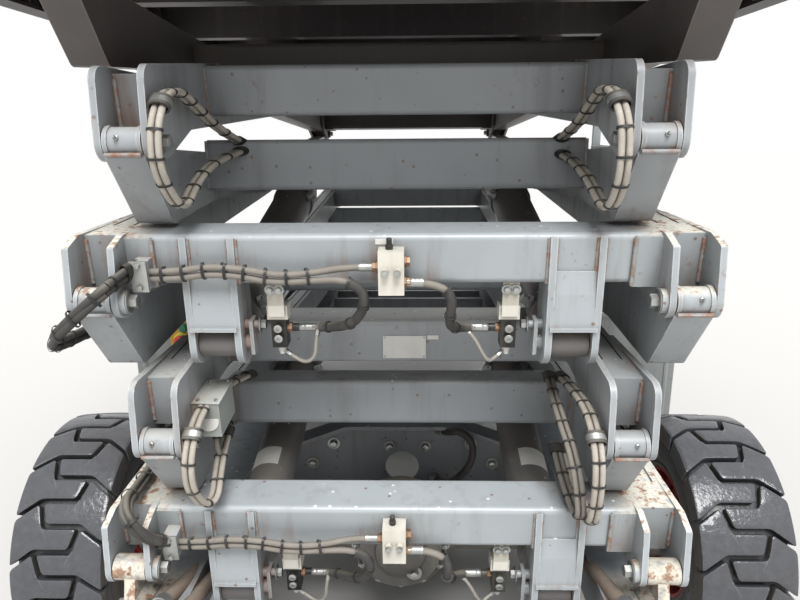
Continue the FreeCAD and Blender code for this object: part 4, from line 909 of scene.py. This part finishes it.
# Manifold and valve fittings
def valveDetails(level):
    place = armPlace("outer", level)
    turn = place.to_3x3()
    ahead, down, up = turn @ Vector((0, -1, 0)), turn @ Vector((0, 0, -1)), turn @ Vector((0, 0, 1))
    bm = bmesh.new()
    for x in (-0.013, 0.013):
        addBolt(bm, place @ Vector((x, -0.005, 0.062)), ahead, 0.013, 0, False)
    # Port fittings on the manifold, and a test point on its top
    for x, t, way in ((-0.027, 0.066, -1), (0.027, 0.032, 1), (0.027, 0.078, 1)):
        joinInto(bm, turned([(0, 0), (0, 0.0135), (0.004, 0.0135), (0.005, 0.0115), (0.012, 0.0115),
                             (0.012, 0)], 6), facing(place @ Vector((x, 0.027, t)), (way, 0, 0)), 1)
    joinInto(bm, turned([(0, 0), (0, 0.008), (0.010, 0.008), (0.010, 0.006), (0.022, 0.006), (0.024, 0.004),
                         (0.024, 0)], 12), facing(place @ Vector((-0.004, 0.03, 0.104)), up), 2)
    for side in (-1, 1):
        x = side * 0.258
        # Cap screws of the head, the coil's nuts, and the drain fitting below
        for dx in (-0.014, 0.014):
            addBolt(bm, place @ Vector((x + dx, 0.070, -0.046)), ahead, 0.009, 0, False)
            addBolt(bm, place @ Vector((x + dx * 0.7, 0.062, 0.004)), ahead, 0.012, 0)
        for t in (-0.090, -0.114):
            joinInto(bm, turned([(0, 0.0095), (0.004, 0.0095), (0.005, 0.008), (0.0055, 0.004), (0.0035, 0.0035),
                                 (0.0035, 0)], 20), facing(place @ Vector((x, 0.066, t)), ahead), 0)
        joinInto(bm, turned([(0, 0), (0, 0.010), (0.012, 0.010), (0.013, 0.007), (0.022, 0.007), (0.022, 0)], 12),
                 facing(place @ Vector((x, 0.094, -0.140)), down), 3)
        joinInto(bm, turned([(0, 0), (0, 0.012), (0.010, 0.012), (0.012, 0.009), (0.020, 0.009), (0.020, 0)], 6),
                 facing(place @ Vector((x - side * 0.017, 0.094, -0.098)), (-side, 0, 0)), 1)
    # Clip that holds the hoses where they arrive on the left cheek
    joinInto(bm, block((0.036, 0.005, 0.068), 0.0015), Matrix.Translation(place @ Vector((-0.524, 0.0015, 0.054)))
             @ Matrix.Rotation(stack["lean"], 4, "X"), 0)
    for t in (0.030, 0.078):
        addBolt(bm, place @ Vector((-0.524, -0.001, t)), ahead, 0.011, 0, False)
    name = "lowerValveFittings" if level == 1 else "upperValveFittings"
    addPiece(name, bm, [zincSteel, brassFitting, tiePlastic, whiteFilm], "outer_" + str(level))


valveDetails(1)
valveDetails(3)


# Blank plates and films, with rivets on the metal one
plates = {"data": {"x": (-0.038, 0.078), "t": (0.036, 0.102)}, "small": {"x": (0.082, 0.112), "t": (0.091, 0.103)},
          "film": {"x": (-0.034, 0.004), "t": (0.1085, 0.1205)}}


def plainPlates():
    place = armPlace("inner", 2)
    level = Matrix.Rotation(stack["lean"], 4, "X")
    bm = bmesh.new()
    for name, deep in (("data", 0.0016), ("small", 0.001)):
        (x0, x1), (t0, t1) = plates[name]["x"], plates[name]["t"]
        middle = place @ Vector(((x0 + x1) / 2, stack["innerBack"] - deep / 2, (t0 + t1) / 2))
        joinInto(bm, block((x1 - x0, deep, t1 - t0), 0.0004, 1), Matrix.Translation(middle) @ level, 0)
    (x0, x1), (t0, t1) = plates["data"]["x"], plates["data"]["t"]
    for x in (x0 + 0.005, x1 - 0.005):
        for t in (t0 + 0.005, t1 - 0.005):
            joinInto(bm, turned([(0, 0.0026), (0.001, 0.0024), (0.0016, 0.0014), (0.0018, 0)], 12),
                     facing(place @ Vector((x, stack["innerBack"] - 0.0016, t)), (0, -1, 0)), 1)
    addPiece("dataPlate", bm, [whiteFilm, zincSteel], "inner_2")
    place = armPlace("outer", 3)
    (x0, x1), (t0, t1) = plates["film"]["x"], plates["film"]["t"]
    bm = bmesh.new()
    middle = place @ Vector(((x0 + x1) / 2, 0.0490, (t0 + t1) / 2))
    joinInto(bm, block((x1 - x0, 0.001, t1 - t0), 0.0003, 1), Matrix.Translation(middle) @ level, 0)
    addPiece("tubeFilm", bm, [whiteFilm], "outer_3")


plainPlates()


# Films on the lower cylinders, laid round the barrels
barrelFilm = {"start": (0.39, -1.7434, 0.5977), "rise": 12.877, "radius": 0.0655, "from": 0.375, "to": 0.450,
              "arc": (-62, 22)}


def barrelFilms():
    bm = bmesh.new()
    for side in (-1, 1):
        patch = bmesh.new()
        bmesh.ops.create_grid(patch, x_segments=14, y_segments=2, size=0.5)
        low, high = (math.radians(value) for value in barrelFilm["arc"])
        for vert in patch.verts:
            angle = low + (vert.co.x + 0.5) * (high - low)
            reach = barrelFilm["from"] + (vert.co.y + 0.5) * (barrelFilm["to"] - barrelFilm["from"])
            vert.co = (barrelFilm["radius"] * math.sin(angle), reach, barrelFilm["radius"] * math.cos(angle))
        bmesh.ops.recalc_face_normals(patch, faces=patch.faces[:])
        bmesh.ops.solidify(patch, geom=patch.faces[:], thickness=0.0008)
        x, y, z = barrelFilm["start"]
        place = Matrix.Translation((side * x, y, z)) @ Matrix.Rotation(math.radians(barrelFilm["rise"]), 4, "X")
        if side > 0:
            place = place @ Matrix.Scale(-1, 4, (1, 0, 0))
        joinInto(bm, patch, place, 0)
    addPiece("barrelFilms", bm, [whiteFilm], "lower_barrels")


barrelFilms()


def barrelDetails():
    # Gland nut, port boss with its elbow, and a weld ring on each barrel
    for where, level in (("lower", 1), ("upper", 3)):
        place = armPlace("outer", level)
        start = place @ Vector((0, 0.075, -0.125))
        axis = Matrix.Rotation(math.radians(barrelFilm["rise"]), 4, "X")
        bm = bmesh.new()
        for side in (-1, 1):
            base = Matrix.Translation((side * 0.39, start.y, start.z)) @ axis
            lay = base @ Matrix.Rotation(math.radians(-90), 4, "X")
            joinInto(bm, turned([(0.952, 0.065), (0.952, 0.0705), (0.958, 0.072), (0.990, 0.072), (0.997, 0.069),
                                 (0.9995, 0.060), (0.9995, 0.036)], 32), lay, 0)
            joinInto(bm, turned([(0.1, 0.0645), (0.104, 0.0695), (0.112, 0.0705), (0.118, 0.0655)], 32), lay, 0)
            for reach in (0.135, 0.93):
                port = base @ Vector((-side * 0.06, reach, 0.028))
                joinInto(bm, turned([(0, 0), (0, 0.016), (0.012, 0.016), (0.012, 0.012), (0.026, 0.012),
                                     (0.026, 0)], 6), facing(port, (-side, 0, 0.5)), 1)
        addPiece(where + "BarrelDetails", bm, [cylinderPaint, zincSteel], where + "_barrels")


barrelDetails()
print("hydraulics made")


# Sensor case: lid with a turned edge, blank film, gland and cable
sensor = {"x": (-0.4627, -0.401), "s": (0.060, 0.175), "t": (-0.024, 0.062)}


def sensorDetails():
    place = armPlace("inner", 2)
    turn = Matrix.Rotation(stack["lean"], 4, "X")
    (x0, x1), (s0, s1), (t0, t1) = sensor["x"], sensor["s"], sensor["t"]
    bm = bmesh.new()
    middle = place @ Vector(((x0 + x1) / 2 + 0.001, (s0 + s1) / 2, t1 + 0.001))
    joinInto(bm, block((x1 - x0 + 0.004, s1 - s0 + 0.004, 0.004), 0.0015), Matrix.Translation(middle) @ turn, 0)
    ring = turned([(0, 0), (0, 0.0255), (0.0006, 0.0255), (0.0006, 0)], 28)
    joinInto(bm, ring, facing(place @ Vector(((x0 + x1) / 2 + 0.002, s0, (t0 + t1) / 2 - 0.002)), (0, -1, 0)), 1)
    for x in (x0 + 0.012, x1 - 0.008):
        for s in (s0 + 0.01, s1 - 0.01):
            addBolt(bm, place @ Vector((x, s, t1 + 0.003)), (0, 0, 1), 0.007, 2, False)
    gland = place @ Vector(((x0 + x1) / 2 + 0.006, s0 + 0.03, t0))
    joinInto(bm, turned([(0, 0), (0, 0.012), (0.008, 0.012), (0.010, 0.009), (0.022, 0.0075), (0.022, 0)], 12),
             facing(gland, (0, 0, -1)), 3)
    addPiece("sensorCase", bm, [caseEnamel, whiteFilm, zincSteel, tiePlastic], "inner_2")
    a = gland + Vector((0, 0, -0.015))
    route = [a, a + Vector((0, 0, -0.03)), a + Vector((0.002, 0.012, -0.06)), a + Vector((0.004, 0.06, -0.05)),
             a + Vector((0.0, 0.13, -0.015)), a + Vector((-0.028, 0.2, 0.02)), a + Vector((-0.030, 0.3, 0.03))]
    bm = bmesh.new()
    joinInto(bm, curvePart(route, 0.0065, 4), None, 0)
    for spot, way in alongRoute(route, (0.45, 0.75, 0.97)):
        band(bm, spot, way, (1, 0, 0), (0.008, 0.008), 0.006, 1)
    addPiece("sensorCable", bm, [greySleeve, tiePlastic], "inner_2")


sensorDetails()


# Emergency stop panel on the left cabinet
stopPanel = {"x": -0.880, "face": -0.716, "stop": 0.910, "start": (0.014, 0.052)}


def stopButtons():
    x, y, z = stopPanel["x"], stopPanel["face"], stopPanel["stop"]
    bm = bmesh.new()
    joinInto(bm, turned([(0, 0), (0, 0.032), (0.003, 0.032), (0.005, 0.030), (0.006, 0.023), (0.006, 0)], 32),
             facing((x, y, z), (0, -1, 0)), 1)
    joinInto(bm, turned([(0.004, 0.0), (0.004, 0.015), (0.018, 0.016), (0.020, 0.0225), (0.026, 0.0235),
                         (0.032, 0.022), (0.037, 0.017), (0.0385, 0.010), (0.039, 0)], 32),
             facing((x, y, z), (0, -1, 0)), 0)
    dx, dz = stopPanel["start"]
    joinInto(bm, turned([(0, 0), (0, 0.0175), (0.004, 0.0175), (0.006, 0.015), (0.010, 0.0145), (0.022, 0.0140),
                         (0.024, 0.012), (0.025, 0)], 28), facing((x + dx, y, z + dz), (0, -1, 0)), 2)
    for side in (-1, 1):
        for end in (-0.05, 0.08):
            addBolt(bm, (x + side * 0.036, y, z + end), (0, -1, 0), 0.008, 3, False)
    addPiece("stopButtons", bm, [redMushroom, yellowRing, greenButton, zincSteel], "chassis")


stopButtons()


# Axle, arched plate and chassis fittings
def axleDetails():
    bm = bmesh.new()
    y, z = -1.19, 0.3875
    for i in range(12):
        turn = i * math.pi / 6
        addBolt(bm, (0.146 * math.sin(turn), y - 0.096, z + 0.146 * math.cos(turn)), (0, -1, 0), 0.016)
    joinInto(bm, turned([(0, 0.145), (0.004, 0.152), (0.010, 0.156), (0.016, 0.152), (0.02, 0.145)], 40),
             facing((0, y - 0.09, z), (0, -1, 0)), 1)
    joinInto(bm, turned([(0, 0.0), (0, 0.085), (0.012, 0.080), (0.022, 0.06), (0.026, 0.03), (0.027, 0)], 36),
             facing((0, y - 0.13, z), (0, -1, 0)), 1)
    addBolt(bm, (0.045, y - 0.137, z - 0.075), (0, -1, 0), 0.026)
    for side in (-1, 1):
        for dy in (-0.05, 0.05):
            for dx in (0.545, 0.595):
                addBolt(bm, (side * dx, y + dy * 1.35, z + 0.06), (0, 1 if dy > 0 else -1, 0), 0.022)
        joinInto(bm, turned([(0, 0.066), (0.006, 0.078), (0.018, 0.078), (0.024, 0.066)], 32),
                 facing((side * 0.42, y, z), (side, 0, 0)), 1)
    addPiece("axleFittings", bm, [zincSteel, axleIron], "chassis")


def archDetails():
    bm = bmesh.new()
    front = -0.985
    for x, z in ((-0.045, 0.588), (0.085, 0.588), (-0.33, 0.52), (0.33, 0.52), (-0.25, 0.60), (0.25, 0.60)):
        addBolt(bm, (x, front, z), (0, -1, 0), 0.024, 0)
    loop = [(0.140, -0.99, 0.655), (0.165, -1.035, 0.668), (0.205, -1.062, 0.690), (0.250, -1.072, 0.655),
            (0.252, -1.078, 0.595), (0.226, -1.075, 0.535), (0.176, -1.055, 0.478), (0.140, -1.02, 0.462),
            (0.115, -0.985, 0.460)]
    joinInto(bm, curvePart(loop, 0.013, 5), None, 1)
    for spot, way in alongRoute(loop, (0.01, 0.99)):
        joinInto(bm, turned([(-0.02, 0), (-0.02, 0.018), (0.02, 0.018), (0.02, 0)], 20), facing(spot, way), 0)
    addPiece("archFittings", bm, [zincSteel, rubberCover], "chassis")
    # Bracket bolts at the base of each lowest arm
    bm = bmesh.new()
    for side in (-1, 1):
        for dx in (-0.031, 0.031):
            for y in (-1.845, -1.795):
                addBolt(bm, (side * (0.618 + dx), y, 0.626), (0, 0, 1), 0.014, 0, False)
        addBolt(bm, (side * 0.64, -1.80, 0.56), (side, 0, 0), 0.026, 0)
        addBolt(bm, (side * 0.64, -1.70, 0.56), (side, 0, 0), 0.026, 0)
    addPiece("bracketBolts", bm, [zincSteel], "chassis")


# Rusty pipes that slant between the base brackets and the rails
basePipes = {"radius": 0.019,
             "runs": [[(-513, -1600, 590), (-520, -1690, 600), (-535, -1790, 622), (-548, -1878, 640)],
                      [(-470, -1560, 560), (-476, -1660, 572), (-492, -1780, 596), (-503, -1880, 615)],
                      [(500, -1580, 590), (508, -1680, 602), (524, -1790, 625), (538, -1878, 645)]]}


def basePipePieces():
    bm = bmesh.new()
    for run in basePipes["runs"]:
        points = inMetres(run)
        joinInto(bm, curvePart(points, basePipes["radius"], 6), None, 0)
        for spot, way in alongRoute(points, (0.02, 0.95)):
            joinInto(bm, turned([(-0.012, 0), (-0.012, 0.024), (0.012, 0.024), (0.012, 0)], 24),
                     facing(spot, way), 1)
    addPiece("basePipes", bm, [rustyPipe, zincSteel], "chassis")


axleDetails()
archDetails()
basePipePieces()
print("chassis details made")


# Doors: pressed louvres, paddle latches and hinge screws
doors = {"left": {"side": -1, "far": 0.640}, "right": {"side": 1, "far": 0.080}}


def doorDetails(name, door):
    side, near, far = door["side"], -0.690, door["far"]
    x = side * 1.085
    bm = bmesh.new()
    middle = (near + far) / 2
    # Louvres in two panels, each a half-round lip
    for centre in (near + 0.22, far - 0.22):
        for i in range(9):
            lip = turned([(-0.09, 0.0), (-0.088, 0.009), (-0.080, 0.012), (0.080, 0.012), (0.088, 0.009),
                          (0.09, 0.0)], 16)
            bmesh.ops.bisect_plane(lip, geom=lip.verts[:] + lip.edges[:] + lip.faces[:], dist=0.00001,
                                   plane_co=(0.0045, 0, 0), plane_no=(1, 0, 0), clear_inner=True)
            bmesh.ops.holes_fill(lip, edges=lip.edges[:], sides=0)
            spot = (x - side * 0.0055, centre, 0.62 + i * 0.034)
            joinInto(bm, lip, facing(spot, (0, 1, 0), (side, 0, 0)), 0)
    # Raised rim round the panel
    for z in (0.52, 0.955):
        joinInto(bm, block((0.004, far - near - 0.10, 0.018), 0.0018), Matrix.Translation((x + side * 0.0005,
                                                                                          middle, z)), 0)
    for y in (near + 0.05, far - 0.05):
        joinInto(bm, block((0.004, 0.018, 0.417), 0.0018), Matrix.Translation((x + side * 0.0005, y, 0.7375)), 0)
    # Paddle latches with their dished plates
    for y in (middle - 0.15, middle + 0.15):
        joinInto(bm, block((0.004, 0.09, 0.11), 0.0018), Matrix.Translation((x + side * 0.001, y, 0.57)), 1)
        joinInto(bm, block((0.007, 0.060, 0.070), 0.003), Matrix.Translation((x + side * 0.003, y, 0.575)), 2)
        joinInto(bm, turned([(0, 0.009), (0.003, 0.009), (0.004, 0.007), (0.004, 0.0)], 20),
                 facing((x + side * 0.002, y, 0.527), (side, 0, 0)), 1)
    addPiece(name + "DoorDetails", bm, [cabinetPaint, zincSteel, tiePlastic], name + "_door")
    bm = bmesh.new()
    # Near face of the cabinet: folded flange, corner bolts and a seam
    inner, outer = 0.700, 1.060
    for z in (0.452, 0.998):
        joinInto(bm, block((outer - inner - 0.02, 0.004, 0.014), 0.0015),
                 Matrix.Translation((side * (inner + outer) / 2, near - 0.0015, z)), 0)
    for dx in (inner + 0.01, outer - 0.01):
        joinInto(bm, block((0.014, 0.004, 0.54), 0.0015), Matrix.Translation((side * dx, near - 0.0015, 0.725)), 0)
        for z in (0.48, 0.97):
            addBolt(bm, (side * (dx + (0.03 if dx < 0.9 else -0.03)), near, z), (0, -1, 0), 0.013, 1)
    for z in (0.50, 0.95):
        for y in (near + 0.06, middle, far - 0.06):
            addBolt(bm, (side * inner, y, z), (-side, 0, 0), 0.013, 1)
    addPiece(name + "CabinetDetails", bm, [cabinetPaint, zincSteel], "chassis")


for name, door in doors.items():
    doorDetails(name, door)


def ladderDetails():
    # Punched grips on the steps and bolts in the ladder's rails
    bm = bmesh.new()
    gap = (1.930 - 0.060 - 0.375) / 5
    for i in range(5):
        z = 0.375 + 0.020 + i * gap + 0.030
        for y in [0.225 + j * 0.036 for j in range(10)]:
            joinInto(bm, turned([(-0.001, 0.010), (0.003, 0.009), (0.004, 0.006), (0.001, 0.005)], 12),
                     Matrix.Translation((1.060, y, z)), 0)
    for y in (0.190, 0.590):
        for z in (0.60, 0.575):
            addBolt(bm, (1.080, y, z + 0.05), (1, 0, 0), 0.014, 1)
    addPiece("ladderGrips", bm, [zincSteel, zincSteel], "chassis")


ladderDetails()
print("cabinets made")


# Platform: rail sockets, ribs of the side beams, gate latch
def platformDetails():
    bm = bmesh.new()
    x = 0.977
    deck = 2.235
    stands = [(x, 0.111), (x, -0.9), (x, -1.957), (0.0, -1.957), (-x, -1.957), (-x, -0.9), (-x, 0.0), (-x, 0.9),
              (-x, 1.957), (x, 0.669), (x, 1.3), (x, 1.957)]
    for px, py in stands:
        inward = -1 if px > 0 else 1
        joinInto(bm, block((0.048, 0.048, 0.10), 0.003), Matrix.Translation((px, py if abs(py) < 1.9 else
                                                                             math.copysign(1.953, py),
                                                                             deck + 0.05)), 0)
        if abs(px) > 0.5:
            addBolt(bm, (px + inward * 0.024, py if abs(py) < 1.9 else math.copysign(1.953, py), deck + 0.065),
                    (inward, 0, 0), 0.017, 1)
    addPiece("railSockets", bm, [railPaint, zincSteel], "platform")
    # Side beams: flange bolts along the outside, ribs inside
    bm = bmesh.new()
    for side in (-1, 1):
        for i in range(9):
            y = -1.8 + i * 0.45
            joinInto(bm, block((0.050, 0.008, 0.176), 0.001), Matrix.Translation((side * 0.966, y, 2.121)), 0)
            addBolt(bm, (side * 0.94, y + 0.06, 2.031), (0, 0, 1), 0.014, 1)
    addPiece("underframeDetails", bm, [platformShadePaint, zincSteel], "platform")
    # Gate: latch and pull knob
    bm = bmesh.new()
    joinInto(bm, block((0.012, 0.06, 0.05), 0.002), Matrix.Translation((0.953, 0.60, 3.02)), 0)
    joinInto(bm, turned([(0, 0.006), (0.02, 0.006), (0.022, 0.011), (0.030, 0.014), (0.038, 0.011), (0.040, 0)],
                        20), facing((0.947, 0.60, 3.02), (-1, 0, 0)), 1)
    addPiece("gateFittings", bm, [zincSteel, redMushroom], "gate")


def controlDetails():
    # Boot and knob of the stick, switches, stop button and lamps on the sloping face
    bm = bmesh.new()
    top = 3.315
    x, y = 0.835, 1.410
    joinInto(bm, turned([(0, 0.036), (0.006, 0.036), (0.009, 0.030), (0.014, 0.032), (0.018, 0.026),
                         (0.023, 0.026), (0.027, 0.018), (0.027, 0)], 28), Matrix.Translation((x, y, top)), 1)
    joinInto(bm, turned([(0.0245, 0.006), (0.0248, 0.013), (0.0252, 0.013), (0.0252, 0.0)], 20),
             Matrix.Translation((x, y, top)), 1)
    for i in range(3):
        spot = (x, 1.48 + i * 0.035, top)
        joinInto(bm, turned([(0, 0.010), (0.003, 0.010), (0.004, 0.006), (0.010, 0.004), (0.018, 0.0045),
                             (0.019, 0)], 16), Matrix.Translation(spot), 2)
    joinInto(bm, turned([(0, 0.0), (0, 0.026), (0.004, 0.026), (0.004, 0.014), (0.012, 0.014), (0.014, 0.020),
                         (0.020, 0.018), (0.022, 0.0)], 28), Matrix.Translation((x - 0.002, 1.585, top - 0.001)), 0)
    for dy in (1.37, 1.59):
        for dz in (3.14, 3.29):
            addBolt(bm, (0.8745, dy, dz), (1, 0, 0), 0.010, 2, False)
    addPiece("controlDetails", bm, [redMushroom, tiePlastic, zincSteel], "extension")


platformDetails()
controlDetails()
print("platform made")


# Floor, world and sun
floorMesh = bpy.data.meshes.new("floor")
bm = bmesh.new()
bmesh.ops.create_grid(bm, x_segments=1, y_segments=1, size=40.0)
bm.to_mesh(floorMesh)
bm.free()
floor = bpy.data.objects.new("floor", floorMesh)
bpy.context.scene.collection.objects.link(floor)
floorPaper, tree, shader = newMaterial("paleFloor")
shader.inputs["Base Color"].default_value = colour("#b4b2af")
shader.inputs["Roughness"].default_value = 0.9
floorMesh.materials.append(floorPaper)

sky = {"low": 0.34, "high": 1.75, "sunStrength": 4.0, "sunSpread": 0.5, "sunFrom": (0.4, -3.1, 4.9)}
world = bpy.data.worlds.new("studio")
bpy.context.scene.world = world
world.use_nodes = True
tree = world.node_tree
tree.nodes.clear()
path = addNode(tree, "ShaderNodeLightPath")
seen = path.outputs["Is Camera Ray"]
for ray in ("Is Glossy Ray", "Is Transmission Ray"):
    seen = addNode(tree, "ShaderNodeMath", {"operation": "MAXIMUM"}, {0: seen, 1: path.outputs[ray]}).outputs[0]
direction = addNode(tree, "ShaderNodeTexCoord")
rise = addNode(tree, "ShaderNodeSeparateXYZ", None, {0: direction.outputs["Generated"]})
strength = addNode(tree, "ShaderNodeMapRange", {"From Min": 0.0, "From Max": 1.0, "To Min": sky["low"],
                                                "To Max": sky["high"]}, {"Value": rise.outputs[2]})
dim = addNode(tree, "ShaderNodeBackground", {"Color": colour("#f1f4f7")}, {"Strength": strength.outputs[0]})
white = addNode(tree, "ShaderNodeBackground", {"Color": colour("#ffffff"), "Strength": 1.0})
mix = addNode(tree, "ShaderNodeMixShader", None,
              {0: seen, 1: dim.outputs[0], 2: white.outputs[0]})
addNode(tree, "ShaderNodeOutputWorld", None, {"Surface": mix.outputs[0]})

sunData = bpy.data.lights.new("softSun", "SUN")
sunData.energy = sky["sunStrength"]
sunData.angle = sky["sunSpread"]
sun = bpy.data.objects.new("softSun", sunData)
sun.rotation_euler = Vector(sky["sunFrom"]).to_track_quat("Z", "Y").to_euler()
bpy.context.scene.collection.objects.link(sun)
print("light set")

bpy.context.scene.view_settings.view_transform = "Standard"
